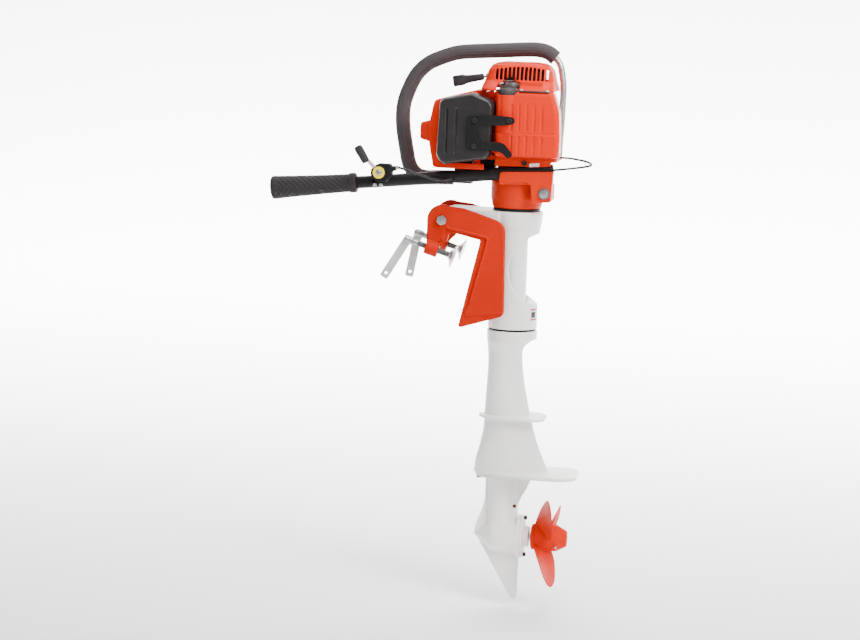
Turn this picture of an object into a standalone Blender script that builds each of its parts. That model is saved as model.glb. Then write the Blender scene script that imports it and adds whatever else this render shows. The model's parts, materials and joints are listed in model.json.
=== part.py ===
"""Small portable outboard motor: transom clamp, swivel, leg, powerhead and
propeller, each piece a separate solid.

Frame: +X aft (away from the boat), +Y starboard, +Z up.  The origin is the
middle of the transom's top aft corner, where the clamp's saddle meets its
upright.  The steering axis is vertical.  Lengths below are millimetres.
"""
import math

import bmesh
import bpy
from mathutils import Matrix, Vector

for old in list(bpy.data.objects):
    bpy.data.objects.remove(old, do_unlink=True)

MM = 0.001

# ------------------------------------------------------------ driving sizes
RAKE = math.radians(12.6)            # transom angle
PIVOT = (-68.4, 0.0, 32.4)           # tilt hinge
STEER_X = 55.5                       # steering and drive-shaft axis
PLATE_IN, PLATE_T = 47.5, 6.0        # clamp plates, inner face and web
PAD_T = 2.5                          # raised outer face of a plate
SCREW_Y = 56.0                       # clamp screws, from the middle
SCREW_SLOPE = math.radians(17.4)
BOSS = (-84.5, -18.0)                # middle of a screw's threaded boss (X, Z)
SCREW_R = 5.6
SCREW_LEAD = 1.75
FOLD_AT = 45.5                       # handle pin, forward of the boss middle
HANDLE_LEAN = {"port": 31.0, "starboard": 10.4}
HANDLE_L, HANDLE_W, HANDLE_T = 87.0, 15.0, 3.0
PAD_AT = 36.5                        # pad socket, aft of the boss middle

COLLAR_TOP, COLLAR_LOW = 51.0, 13.6
SWIVEL_BOTTOM = -157.0
TUBE_R = 22.3                        # steering tube
LEG_TOP = -160.4
PLATE_Z = -414.0                     # anti-ventilation plate, top
CASE_TOP = -420.4
PROP_Z = -532.4                      # propeller shaft axis
PROP_X0, PROP_X1 = 104.4, 168.8
PROP_R = 88.0
PROP_PITCH = 115.0
PINION_TEETH, GEAR_TEETH = 13, 27
GEAR_PITCH_R = 21.6
PINION_PITCH_R = GEAR_PITCH_R * PINION_TEETH / GEAR_TEETH

TILLER_Y = -41.0
TILLER_R, TILLER_BORE = 11.0, 9.0
TILLER_Z0, TILLER_RISE = 113.8, 0.107
TILLER_X0, TILLER_X1 = -372.0, 121.5
GRIP_X0, GRIP_X1 = -376.5, -233.0

ADAPTER_TOP = 103.0
BASE_Z0, BASE_Z1 = 141.0, 149.0
CASE_Z1 = 261.6
COVER_Z0, COVER_Z1 = 262.0, 311.0
REEL_R = 20.0
ROPE_Y = -20.0
HANDLE_Y = 30.0                      # carry handle's plane
HANDLE_ROD_R, HANDLE_SLEEVE_R = 6.0, 13.0

SEG = 16                             # sides of an ordinary round

# ---------------------------------------------------------------- materials
MATERIALS = {}


def material(name, colour, rough, metal=0.0):
    mat = bpy.data.materials.new(name)
    mat.use_nodes = True
    bsdf = mat.node_tree.nodes["Principled BSDF"]
    bsdf.inputs["Base Color"].default_value = (*colour, 1.0)
    bsdf.inputs["Roughness"].default_value = rough
    bsdf.inputs["Metallic"].default_value = metal
    mat.diffuse_color = (*colour, 1.0)
    MATERIALS[name] = mat


material("orange_paint", (0.83, 0.10, 0.03), 0.35)
material("orange_plastic", (0.87, 0.11, 0.035), 0.32)
material("white_paint", (0.74, 0.74, 0.71), 0.4)
material("black_metal", (0.02, 0.019, 0.02), 0.5)
material("black_plastic", (0.025, 0.024, 0.025), 0.55)
material("rubber", (0.05, 0.045, 0.05), 0.8)
material("bright_steel", (0.62, 0.62, 0.6), 0.3, 1.0)
material("zinc", (0.5, 0.52, 0.52), 0.35, 1.0)
material("aluminium", (0.56, 0.57, 0.58), 0.4, 1.0)
material("pale_zinc", (0.66, 0.66, 0.62), 0.45, 0.6)
material("grey_plastic", (0.16, 0.14, 0.13), 0.5)
material("brass", (0.7, 0.5, 0.2), 0.35, 1.0)

# ------------------------------------------------------------------- shapes
# A shape is (vertices, faces), one closed shell in millimetres.


def basis(direction):
    """Two unit vectors square to the direction, and the direction."""
    w = Vector(direction).normalized()
    seed = Vector((0, 0, 1)) if abs(w.z) < 0.9 else Vector((0, 1, 0))
    u = seed.cross(w).normalized()
    return u, w.cross(u), w


def loft(rings, closed=False):
    n = len(rings[0])
    verts = [tuple(p) for ring in rings for p in ring]
    faces = []
    count = len(rings)
    for i in range(count if closed else count - 1):
        a, b = i * n, ((i + 1) % count) * n
        for j in range(n):
            k = (j + 1) % n
            faces.append((a + j, a + k, b + k, b + j))
    if not closed:
        faces.append(tuple(reversed(range(n))))
        faces.append(tuple(range((count - 1) * n, count * n)))
    return verts, faces


def turned(profile, at=(0, 0, 0), axis=(0, 0, 1), seg=SEG, phase=0.0):
    """Turn (radius, height) points about an axis.  A profile whose ends are
    both at radius 0 is a solid; any other profile closes on itself."""
    u, v, w = basis(axis)
    at = Vector(at)
    verts, faces, rows = [], [], []
    for radius, height in profile:
        centre = at + w * height
        if radius < 1e-9:
            rows.append([len(verts)] * seg)
            verts.append(tuple(centre))
            continue
        row = []
        for i in range(seg):
            t = phase + 2 * math.pi * i / seg
            row.append(len(verts))
            verts.append(tuple(centre + (u * math.cos(t) + v * math.sin(t)) * radius))
        rows.append(row)
    solid_ends = profile[0][0] < 1e-9 and profile[-1][0] < 1e-9
    pairs = list(zip(rows, rows[1:]))
    if not solid_ends:
        pairs.append((rows[-1], rows[0]))
    for lower, upper in pairs:
        for j in range(seg):
            k = (j + 1) % seg
            loop = []
            for index in (lower[j], lower[k], upper[k], upper[j]):
                if index not in loop:
                    loop.append(index)
            if len(loop) > 2:
                faces.append(tuple(loop))
    return verts, faces


def rod(radius, start, end, seg=SEG, phase=0.0):
    start, end = Vector(start), Vector(end)
    length = (end - start).length
    return turned([(0, 0), (radius, 0), (radius, length), (0, length)],
                  start, end - start, seg, phase)


def pipe(outer, inner, start, end, seg=SEG):
    start, end = Vector(start), Vector(end)
    length = (end - start).length
    return turned([(inner, 0), (outer, 0), (outer, length), (inner, length)],
                  start, end - start, seg)


def box(x0, x1, y0, y1, z0, z1):
    ring = [(x0, y0), (x1, y0), (x1, y1), (x0, y1)]
    return loft([[(x, y, z0) for x, y in ring], [(x, y, z1) for x, y in ring]])


def rounded(points, steps=4):
    """Round the corners of an outline of (a, b, radius) points."""
    out = []
    n = len(points)
    for i in range(n):
        p = Vector(points[i][:2])
        radius = points[i][2] if len(points[i]) > 2 else 0.0
        if radius <= 0:
            out.append(tuple(p))
            continue
        to_a = (Vector(points[i - 1][:2]) - p)
        to_b = (Vector(points[(i + 1) % n][:2]) - p)
        half = to_a.angle(to_b) / 2
        reach = min(radius / math.tan(half), to_a.length * 0.49, to_b.length * 0.49)
        radius = reach * math.tan(half)
        a, b = to_a.normalized(), to_b.normalized()
        centre = p + (a + b).normalized() * (radius / math.sin(half))
        first, last = p + a * reach - centre, p + b * reach - centre
        turn = math.atan2(first.x * last.y - first.y * last.x, first.dot(last))
        for s in range(steps + 1):
            t = turn * s / steps
            c, q = math.cos(t), math.sin(t)
            out.append((centre.x + first.x * c - first.y * q,
                        centre.y + first.x * q + first.y * c))
    return out


def prism(outline, low, high, across="Y"):
    """An outline pushed along an axis: Y takes (x, z), Z takes (x, y), X (y, z)."""
    def place(a, b, c):
        return {"Y": (a, c, b), "Z": (a, b, c), "X": (c, a, b)}[across]
    return loft([[place(a, b, low) for a, b in outline],
                 [place(a, b, high) for a, b in outline]])


def rect_ring(cx, cy, hx, hy, radius, z, steps=3):
    outline = rounded([(cx + hx, cy - hy, radius), (cx + hx, cy + hy, radius),
                       (cx - hx, cy + hy, radius), (cx - hx, cy - hy, radius)], steps)
    return [(x, y, z) for x, y in outline]


def curve(points, per_span=6):
    """A smooth Catmull-Rom line through the points."""
    pts = [Vector(p) for p in points]
    pts = [2 * pts[0] - pts[1]] + pts + [2 * pts[-1] - pts[-2]]
    out = []
    for i in range(1, len(pts) - 2):
        p0, p1, p2, p3 = pts[i - 1:i + 3]
        for s in range(per_span):
            t = s / per_span
            out.append(0.5 * (2 * p1 + (p2 - p0) * t + (2 * p0 - 5 * p1 + 4 * p2 - p3) * t * t
                              + (3 * p1 - p0 - 3 * p2 + p3) * t ** 3))
    out.append(pts[-2].copy())
    return out


def swept(path, radius, seg=10):
    path = [Vector(p) for p in path]
    rings = []
    normal = None
    for i, p in enumerate(path):
        along = (path[min(i + 1, len(path) - 1)] - path[max(i - 1, 0)]).normalized()
        if normal is None:
            normal = basis(along)[0]
        normal = (normal - along * normal.dot(along)).normalized()
        side = along.cross(normal)
        r = radius(i / (len(path) - 1)) if callable(radius) else radius
        rings.append([tuple(p + (normal * math.cos(2 * math.pi * j / seg)
                                 + side * math.sin(2 * math.pi * j / seg)) * r)
                      for j in range(seg)])
    return loft(rings)


def hex_ring(centre, axis, across_flats, phase=0.0):
    """Twelve points on a hexagon: corners and middles of sides in turn."""
    u, v, _ = basis(axis)
    corner = across_flats / math.sqrt(3)
    ring = []
    for i in range(12):
        t = phase + math.pi * i / 6
        r = corner if i % 2 == 0 else across_flats / 2
        ring.append(tuple(Vector(centre) + (u * math.cos(t) + v * math.sin(t)) * r))
    return ring


def round_ring(centre, axis, radius, count=12, phase=0.0):
    u, v, _ = basis(axis)
    return [tuple(Vector(centre) + (u * math.cos(phase + 2 * math.pi * i / count)
                                    + v * math.sin(phase + 2 * math.pi * i / count)) * radius)
            for i in range(count)]


def bolt(seat, axis, shank_r, shank_l, across_flats, head_h, washer_r=0.0, washer_h=0.0):
    """A bolt whose head (and washer) stands on seat and whose shank runs back
    against the axis."""
    w = Vector(axis).normalized()
    seat = Vector(seat)
    rings = [round_ring(seat - w * shank_l, w, shank_r), round_ring(seat, w, shank_r)]
    top = seat
    if washer_r:
        rings += [round_ring(seat, w, washer_r), round_ring(seat + w * washer_h, w, washer_r)]
        top = seat + w * washer_h
    rings += [hex_ring(top, w, across_flats), hex_ring(top + w * head_h, w, across_flats)]
    return loft(rings)


# ------------------------------------------------------------------ objects
PIECES = []


def solid(name, shells, mat, smooth=32.0):
    """One object from one or more shells that don't touch each other."""
    if isinstance(shells, tuple):
        shells = [shells]
    verts, faces = [], []
    for shell_verts, shell_faces in shells:
        base = len(verts)
        verts += [(x * MM, y * MM, z * MM) for x, y, z in shell_verts]
        faces += [tuple(base + i for i in face) for face in shell_faces]
    mesh = bpy.data.meshes.new(name)
    mesh.from_pydata(verts, [], faces)
    bm = bmesh.new()
    bm.from_mesh(mesh)
    bmesh.ops.recalc_face_normals(bm, faces=bm.faces)
    bm.to_mesh(mesh)
    bm.free()
    obj = bpy.data.objects.new(name, mesh)
    bpy.context.scene.collection.objects.link(obj)
    if mat:
        mesh.materials.append(MATERIALS[mat])
        mesh.shade_smooth()
        mesh.set_sharp_from_angle(angle=math.radians(smooth))
        PIECES.append(obj)
    return obj


def combine(obj, shells, operation, smooth=32.0):
    """Join shells to an object, or cut them out of it."""
    tools = []
    for index, shell in enumerate(shells):
        tool = solid(f"tool_{index}", shell, None)
        tools.append(tool)
        step = obj.modifiers.new(f"step_{index}", "BOOLEAN")
        step.operation = operation
        step.solver = "EXACT"
        step.object = tool
    graph = bpy.context.evaluated_depsgraph_get()
    graph.update()
    mesh = bpy.data.meshes.new_from_object(obj.evaluated_get(graph))
    bm = bmesh.new()
    bm.from_mesh(mesh)
    bmesh.ops.remove_doubles(bm, verts=bm.verts, dist=2e-6)
    bmesh.ops.dissolve_limit(bm, angle_limit=math.radians(0.5), verts=bm.verts,
                             edges=bm.edges)
    bmesh.ops.triangulate(bm, faces=bm.faces)
    bm.to_mesh(mesh)
    bm.free()
    obj.modifiers.clear()
    old = obj.data
    mesh.materials.clear()
    for mat in old.materials:
        mesh.materials.append(mat)
    obj.data = mesh
    bpy.data.meshes.remove(old)
    for tool in tools:
        bpy.data.objects.remove(tool, do_unlink=True)
    mesh.shade_smooth()
    mesh.set_sharp_from_angle(angle=math.radians(smooth))
    return obj


def join(obj, *shells):
    return combine(obj, shells, "UNION")


def cut(obj, *shells):
    return combine(obj, shells, "DIFFERENCE")


def chamfer(obj, width, segments=1, angle=40.0):
    step = obj.modifiers.new("edges", "BEVEL")
    step.width = width * MM
    step.segments = segments
    step.limit_method = "ANGLE"
    step.angle_limit = math.radians(angle)
    step.use_clamp_overlap = True
    return obj


# =============================================================== the clamp
SCREW_AXIS = Vector((math.cos(SCREW_SLOPE), 0, -math.sin(SCREW_SLOPE)))   # aft, down


def on_screw(distance, y):
    """A point on a clamp screw's axis, measured aft from its boss."""
    return Vector((BOSS[0], y, BOSS[1])) + SCREW_AXIS * distance


def transom_x(z):
    return z * math.tan(RAKE)


def clamp_outline():
    hump = [(PIVOT[0] + 27.0 * math.cos(math.radians(a)),
             PIVOT[2] + 27.0 * math.sin(math.radians(a))) for a in range(66, 184, 19)]
    hump.reverse()
    points = [(transom_x(-157.0), -157.0, 4), (46.0, -131.5, 11), (43.0, 31.0, 24),
              (-30.0, 54.4, 30)]
    points += list(reversed(hump))
    points += [(-95.2, -6.0, 5), (-97.0, -27.0, 6), (-79.0, -34.0, 5), (-72.5, -17.0, 6),
               (-58.5, -3.0, 7), (-54.8, 12.2, 5), (0.0, 0.0, 2.5)]
    return rounded(points, 2)


def web_outline():
    """The raised face: inside the rim along the saddle and the upright."""
    points = [(-27.5, -135.0, 6), (44.6, -127.0, 10), (41.5, 29.5, 22), (-30.0, 52.4, 30)]
    points += [(PIVOT[0] + 25.0 * math.cos(math.radians(a)),
                PIVOT[2] + 25.0 * math.sin(math.radians(a))) for a in range(66, 184, 19)]
    points += [(-93.0, -6.0, 5), (-80.0, -9.0, 4), (-66.7, -1.5, 4), (-61.2, 18.0, 3),
               (13.0, 5.5, 5), (-14.0, -108.0, 6)]
    return rounded(points, 2)


for side, sign in (("port", -1), ("starboard", 1)):
    inner, outer = sign * PLATE_IN, sign * (PLATE_IN + PLATE_T)
    plate = solid(f"clamp_bracket_{side}",
                  prism(clamp_outline(), min(inner, outer), max(inner, outer)), "orange_paint")
    face = sign * (PLATE_IN + PLATE_T - 1.0), sign * (PLATE_IN + PLATE_T + PAD_T)
    y = sign * SCREW_Y
    join(plate, prism(web_outline(), min(face), max(face)),
         rod(13.0, on_screw(-11.5, y), on_screw(11.5, y), 14))
    cut(plate, rod(6.15, on_screw(-14, y), on_screw(14, y), 12, 0.1),
        rod(5.5, (PIVOT[0], sign * 40, PIVOT[2]), (PIVOT[0], sign * 70, PIVOT[2]), 16),
        rod(5.4, (-17.0, sign * 40, -121.0), (-17.0, sign * (PLATE_IN + 3.6), -121.0), 16))

OUTER = PLATE_IN + PLATE_T + PAD_T
solid("tilt_bolt", bolt((PIVOT[0], -OUTER - 0.3, PIVOT[2]), (0, -1, 0), 5.0, 2 * OUTER + 12,
                        17.0, 6.5, 9.6, 1.8), "zinc")
solid("tilt_nut", turned([(5.35, 0), (9.6, 0), (9.6, 1.8), (8.4, 1.8), (8.4, 9.0), (5.35, 9.0)],
                         (PIVOT[0], OUTER + 0.3, PIVOT[2]), (0, 1, 0), 12), "zinc")
solid("tilt_rod", rod(5.0, (-17.0, -PLATE_IN - 3.2, -121.0), (-17.0, PLATE_IN + 3.2, -121.0), 12), "zinc")

for side, sign in (("port", -1), ("starboard", 1)):
    y = sign * SCREW_Y
    lean = math.radians(HANDLE_LEAN[side])
    pin = on_screw(-FOLD_AT, y)
    screw = solid(f"clamp_screw_{side}", turned(
        [(0, -PAD_AT - 3.2), (4.2, -PAD_AT - 3.2), (4.2, -PAD_AT + 4.0), (SCREW_R, -PAD_AT + 4.4),
         (SCREW_R, FOLD_AT - 19.0), (4.8, FOLD_AT - 18.4), (4.8, FOLD_AT - 11.0),
         (7.0, FOLD_AT - 10.0), (7.0, FOLD_AT + 5.0), (5.5, FOLD_AT + 6.5), (0, FOLD_AT + 6.5)],
        on_screw(0, y), -SCREW_AXIS, 12), "zinc")
    slot_u = SCREW_AXIS.cross(Vector((0, 1, 0)))
    # the slot that the handle folds in, and the pin across it
    c = on_screw(-FOLD_AT - 3.0, y)
    corners = [c + SCREW_AXIS * a + slot_u * b for a, b in
               ((-8, -9), (15.0, -9), (15.0, 9), (-8, 9))]
    cut(screw, loft([[(p.x, y - HANDLE_T / 2 - 0.4, p.z) for p in corners],
                     [(p.x, y + HANDLE_T / 2 + 0.4, p.z) for p in corners]]))
    join(screw, rod(2.2, (pin.x, y - 5.5, pin.z), (pin.x, y + 5.5, pin.z), 10))
    down = Vector((-math.sin(lean), 0, -math.cos(lean)))
    wide = Vector((down.z, 0, -down.x))
    outline = []
    for a, b, r in ((-7.0, -HANDLE_W / 2, 4.5), (-7.0, HANDLE_W / 2, 4.5),
                    (HANDLE_L - 7.0, HANDLE_W / 2, 2.5), (HANDLE_L - 7.0, -HANDLE_W / 2, 2.5)):
        p = pin + down * a + wide * b
        outline.append((p.x, p.z, r))
    handle = solid(f"clamp_handle_{side}",
                   prism(rounded(outline, 3), y - HANDLE_T / 2, y + HANDLE_T / 2), "pale_zinc")
    hole = pin + down * (HANDLE_L - 16.0)
    cut(handle, rod(2.7, (pin.x, y - 3, pin.z), (pin.x, y + 3, pin.z), 12, 0.2),
        rod(2.6, (hole.x, y - 3, hole.z), (hole.x, y + 3, hole.z), 12))
    solid(f"clamp_pad_{side}", turned(
        [(4.55, -4.0), (8.5, -4.0), (9.5, -1.0), (20.0, 3.2), (20.0, 5.0), (9.0, 2.2),
         (0.0, 1.6), ][:-1] + [(4.55, 1.2)],
        on_screw(PAD_AT, y), SCREW_AXIS, 16), "bright_steel")

# ============================================================== the swivel
swivel = solid("swivel_bracket", turned(
    [(26.9, COLLAR_LOW - 30), (42.0, COLLAR_LOW - 30), (41.6, COLLAR_LOW), (46.6, COLLAR_TOP - 4.0),
     (45.2, COLLAR_TOP), (26.9, COLLAR_TOP)], (STEER_X, 0, 0), (0, 0, 1), 24), "white_paint")
spine = turned([(26.9, SWIVEL_BOTTOM), (43.5, SWIVEL_BOTTOM), (43.5, -118.0), (43.0, 10.0),
                (42.0, 20.0), (26.9, 20.0)], (STEER_X, 0, 0), (0, 0, 1), 24)
arm = rounded([(30.0, 16.0), (30.0, COLLAR_TOP - 0.6), (-60.0, 52.0, 14), (-87.5, 44.0, 12),
               (-87.5, 20.0, 12), (-62.0, 13.2, 10), (5.0, 15.0, 6), (18.0, -20.0, 8), (30.0, -60.0)], 3)
lug = rounded([(24.0, -105.0), (-6.0, -113.0, 5), (-11.4, -117.0, 2), (-11.4, -129.0, 2), (24.0, -137.0)], 2)
join(swivel, spine, prism(arm, -43.0, 43.0), prism(lug, -18.0, 18.0))
scoop = [(115.0 + 65.0 * math.cos(2 * math.pi * i / 24), -50.6 + 65.2 * math.sin(2 * math.pi * i / 24))
         for i in range(24)]
cut(swivel, prism(scoop, -60, 60),
    turned([(0, -108), (36.5, -108), (36.5, 6), (0, 6)], (STEER_X, 0, 0), (0, 0, 1), 20),
    rod(26.9, (STEER_X, 0, -170), (STEER_X, 0, 60), 20),
    rod(5.7, (PIVOT[0], -50, PIVOT[2]), (PIVOT[0], 50, PIVOT[2]), 16))
for name, z0, z1, f0, f1 in (("swivel_bush_upper", 30.0, 55.9, 51.3, 55.9),
                             ("swivel_bush_lower", -160.1, -138.0, -160.1, -157.3)):
    profile = ([(22.75, z0), (26.5, z0), (26.5, f0), (41.7, f0), (41.7, f1), (22.75, f1)]
               if f0 > 0 else
               [(22.75, f0), (41.7, f0), (41.7, f1), (26.5, f1), (26.5, z1), (22.75, z1)])
    solid(name, turned(profile, (STEER_X, 0, 0), (0, 0, 1), 20), "black_plastic")


# ================================================================ the leg
solid("steering_tube", turned(
    [(17.5, -172.0), (TUBE_R, -172.0), (TUBE_R, 70.0), (17.5, 70.0)],
    (STEER_X, 0, 0), (0, 0, 1), 24), "white_paint")


def foil(x0, x1, half, z, blunt=2.0, tail=1.55, fore=0.42, steps=7):
    """A streamlined section: elliptical nose, finer tail."""
    mid = x0 + (x1 - x0) * fore
    ring = []
    for i in range(2 * steps):
        t = math.pi * i / steps
        c, s = math.cos(t), math.sin(t)
        if c >= 0:                                   # towards the tail
            x = mid + (x1 - mid) * c
            y = half * (1 - abs(c) ** blunt) ** (1 / blunt) if blunt == 2.0 and tail == 2.0 \
                else half * (1 - abs(c) ** tail) ** 0.8
        else:
            x = mid + (mid - x0) * c
            y = half * abs(s)
        ring.append((x, math.copysign(y, s) if abs(s) > 1e-9 else 0.0, z))
    return ring


def round_section(radius, z, steps=7):
    return [(STEER_X + radius * math.cos(math.pi * i / steps),
             radius * math.sin(math.pi * i / steps), z) for i in range(2 * steps)]


LEG_SECTIONS = [   # z, front, rear, half width
    (-180.0, 12.4, 91.0, 41.0), (-190.0, 13.2, 79.5, 33.5), (-200.0, 14.3, 76.0, 27.0),
    (-222.0, 15.2, 77.2, 25.5), (-258.0, 14.2, 82.0, 25.5), (-290.0, 12.8, 89.0, 26.0),
    (-316.0, 12.0, 95.0, 26.5), (-342.0, 10.5, 102.0, 27.0), (-368.0, 5.8, 110.8, 28.5),
    (-394.0, -0.6, 121.9, 30.0), (-416.0, -3.0, 131.5, 31.5)]
leg = solid("leg_housing", loft(
    [round_section(43.2, LEG_TOP), round_section(44.4, LEG_TOP - 1.5), round_section(44.4, -170.0)]
    + [foil(a, b, h, z) for z, a, b, h in LEG_SECTIONS]), "white_paint")


def plate_outline(x0, x1, half, nose, power, corner, steps=7):
    """A plate seen from above: curved nose widening aft, rounded square tail."""
    upper = []
    for i in range(steps + 1):
        s = i / steps
        upper.append((x0 + nose * s ** 1.6, half * (1 - (1 - s ** 1.6) ** power) ** 0.6))
    pts = [(x, -y) for x, y in upper]
    tail = [(x1, -half, corner), (x1, half, corner)]
    back = [(x, y) for x, y in reversed(upper[1:])]
    return rounded([(x, y, 0) for x, y in pts] + tail + [(x, y, 0) for x, y in back], 3)


cavitation = plate_outline(-4.0, 182.6, 55.0, 120.0, 1.7, 36.0)
spray = plate_outline(2.1, 121.4, 43.0, 62.0, 2.0, 34.0)
join(leg, prism(cavitation, PLATE_Z - 6.0, PLATE_Z, "Z"), prism(spray, -319.0, -314.0, "Z"))
cut(leg, rod(22.7, (STEER_X, 0, -150.0), (STEER_X, 0, -172.4), 20),
    rod(8.5, (STEER_X, 0, -165.0), (STEER_X, 0, -430.0), 10),
    rod(3.4, (6.0, 0, -430.0), (6.0, 0, -400.0), 10))

STRUT = [(-422.6, 16.8, 75.0, 21.0), (-436.0, 17.2, 74.0, 19.5), (-468.0, 18.5, 72.5, 19.0),
         (-486.0, 17.0, 73.5, 19.5), (-504.0, 11.5, 78.0, 21.0), (-532.0, 6.0, 80.0, 22.0)]
case = solid("gearcase", loft([foil(a, b, h, z) for z, a, b, h in STRUT]), "white_paint")
top_flange = plate_outline(0.0, 82.0, 34.0, 46.0, 1.8, 20.0, 5)
fin = rounded([(60.0, -424.0), (100.5, -424.0), (95.0, -436.0, 20), (78.5, -470.0, 40), (75.0, -494.0),
               (60.0, -494.0)], 4)
torpedo = turned([(0, 1.4), (4.0, 2.4), (16.0, 14.5), (26.0, 27.5), (30.4, 38.0), (31.0, 46.0),
                  (31.0, 83.0), (0, 83.0)], (0, 0, PROP_Z), (1, 0, 0), 20)
skeg = rounded([(4.2, -533.4), (40.0, -540.0), (83.6, -552.0), (82.2, -648.6, 3), (72.0, -648.6, 9)], 3)
ear = rounded([(0, 37.6, 8), (-13, 37.6, 8), (-31.0, 12, 12), (-31.0, -12, 12), (-13, -37.6, 8),
               (13, -37.6, 8), (31.0, -12, 12), (31.0, 12, 12), (13, 37.6, 8)], 1)
ear = [(y, z + PROP_Z) for y, z in ear]
join(case, prism(top_flange, -426.6, CASE_TOP, "Z"), prism(fin, -3.6, 3.6), torpedo,
     prism(skeg, -3.8, 3.8), prism(ear, 79.0, 86.0, "X"))
cut(case, turned([(0, 31.0), (26.2, 35.5), (26.2, 90.0), (0, 90.0)], (0, 0, PROP_Z), (1, 0, 0), 18, 0.06),
    rod(8.5, (STEER_X, 0, -410.0), (STEER_X, 0, -515.0), 10),
    rod(13.2, (STEER_X, 0, -498.0), (STEER_X, 0, -520.0), 14),
    rod(3.4, (6.0, 0, -430.0), (6.0, 0, -410.0), 10),
    rod(2.3, (78.0, 0, PROP_Z + 33.6), (90.0, 0, PROP_Z + 33.6), 8),
    rod(2.3, (78.0, 0, PROP_Z - 33.6), (90.0, 0, PROP_Z - 33.6), 8))
carrier = solid("bearing_carrier", prism(ear, 86.3, 90.8, "X"), "white_paint")
join(carrier, rod(25.2, (70.0, 0, PROP_Z), (88.0, 0, PROP_Z), 18),
     turned([(0, 88.5), (20.5, 88.5), (19.2, 93.0), (19.0, 100.3), (0, 100.3)], (0, 0, PROP_Z), (1, 0, 0), 20))
cut(carrier, rod(5.4, (60, 0, PROP_Z), (110, 0, PROP_Z), 14),
    rod(2.3, (80.0, 0, PROP_Z + 33.6), (95.0, 0, PROP_Z + 33.6), 8),
    rod(2.3, (80.0, 0, PROP_Z - 33.6), (95.0, 0, PROP_Z - 33.6), 8))
for name, sign in (("carrier_bolt_top", 1), ("carrier_bolt_bottom", -1)):
    solid(name, bolt((91.1, 0, PROP_Z + sign * 33.6), (1, 0, 0), 2.0, 12.0, 6.4, 5.0), "black_metal")
solid("gearcase_bolt", bolt((6.0, 0, -426.9), (0, 0, -1), 3.0, 20.0, 8.0, 4.0), "black_metal")

# ------------------------------------------------- propeller and its shaft


def bevel_gear(teeth, pitch_r, mate_r, face, at, axis, bore, phase, back=5.0):
    """Straight bevel gear.  Its pitch cone's apex lies mate_r beyond the
    pitch circle along the axis; teeth taper towards the apex."""
    u, v, w = basis(axis)
    at = Vector(at)
    apex = at + w * mate_r
    module = 2 * pitch_r / teeth
    rings = []
    slant = math.hypot(pitch_r, mate_r)
    cone = (mate_r / slant, pitch_r / slant)          # outwards, and away from the apex's side
    for shrink in (1.0, 1.0 - face / slant):
        ring = []
        for i in range(teeth):
            for frac, height in ((-0.27, -1.05), (-0.11, 0.72), (0.11, 0.72), (0.27, -1.05)):
                t = phase + 2 * math.pi * (i + frac) / teeth
                r = pitch_r + height * module * cone[0]
                h = height * module * cone[1]
                p = at + (u * math.cos(t) + v * math.sin(t)) * r + w * h
                ring.append(tuple(apex + (p - apex) * shrink))
        rings.append(ring)
    count = teeth * 4
    root = pitch_r - 1.05 * module * cone[0]
    back_ring = [tuple(at - w * back + (u * math.cos(phase + 2 * math.pi * (i // 4 + f) / teeth)
                                        + v * math.sin(phase + 2 * math.pi * (i // 4 + f) / teeth))
                       * root)
                 for i, f in ((k, (-0.27, -0.11, 0.11, 0.27)[k % 4]) for k in range(count))]
    shell = loft([back_ring] + rings)
    return shell


shaft = solid("prop_shaft", turned(
    [(0, 46.0), (4.6, 46.0), (4.6, 67.0), (5.0, 67.4), (5.0, 164.0), (4.0, 165.0), (0, 165.0)],
    (0, 0, PROP_Z), (1, 0, 0), 16), "bright_steel")
GEAR_X = STEER_X + PINION_PITCH_R
gear = solid("drive_gear", bevel_gear(GEAR_TEETH, GEAR_PITCH_R, PINION_PITCH_R, 6.0,
                                      (GEAR_X, 0, PROP_Z), (-1, 0, 0), 5.4, -math.pi / (2 * GEAR_TEETH), 2.6), "bright_steel")
cut(gear, rod(5.3, (40, 0, PROP_Z), (80, 0, PROP_Z), 16))
pinion = solid("pinion_gear", bevel_gear(PINION_TEETH, PINION_PITCH_R, GEAR_PITCH_R, 6.0,
                                         (STEER_X, 0, PROP_Z + GEAR_PITCH_R), (0, 0, -1), 4.4, 0.0, 5.0),
               "bright_steel")
cut(pinion, rod(4.5, (STEER_X, 0, -490), (STEER_X, 0, -540), 12))

hub = solid("propeller", turned(
    [(5.4, PROP_X0), (19.0, PROP_X0), (23.2, PROP_X0 + 1.5), (23.2, PROP_X0 + 6.0),
     (22.6, PROP_X0 + 7.0), (24.2, 138.0), (23.6, 150.0), (14.2, PROP_X1 - 1.5), (12.6, PROP_X1),
     (5.4, PROP_X1)], (0, 0, PROP_Z), (1, 0, 0), 16), "orange_plastic")


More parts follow.
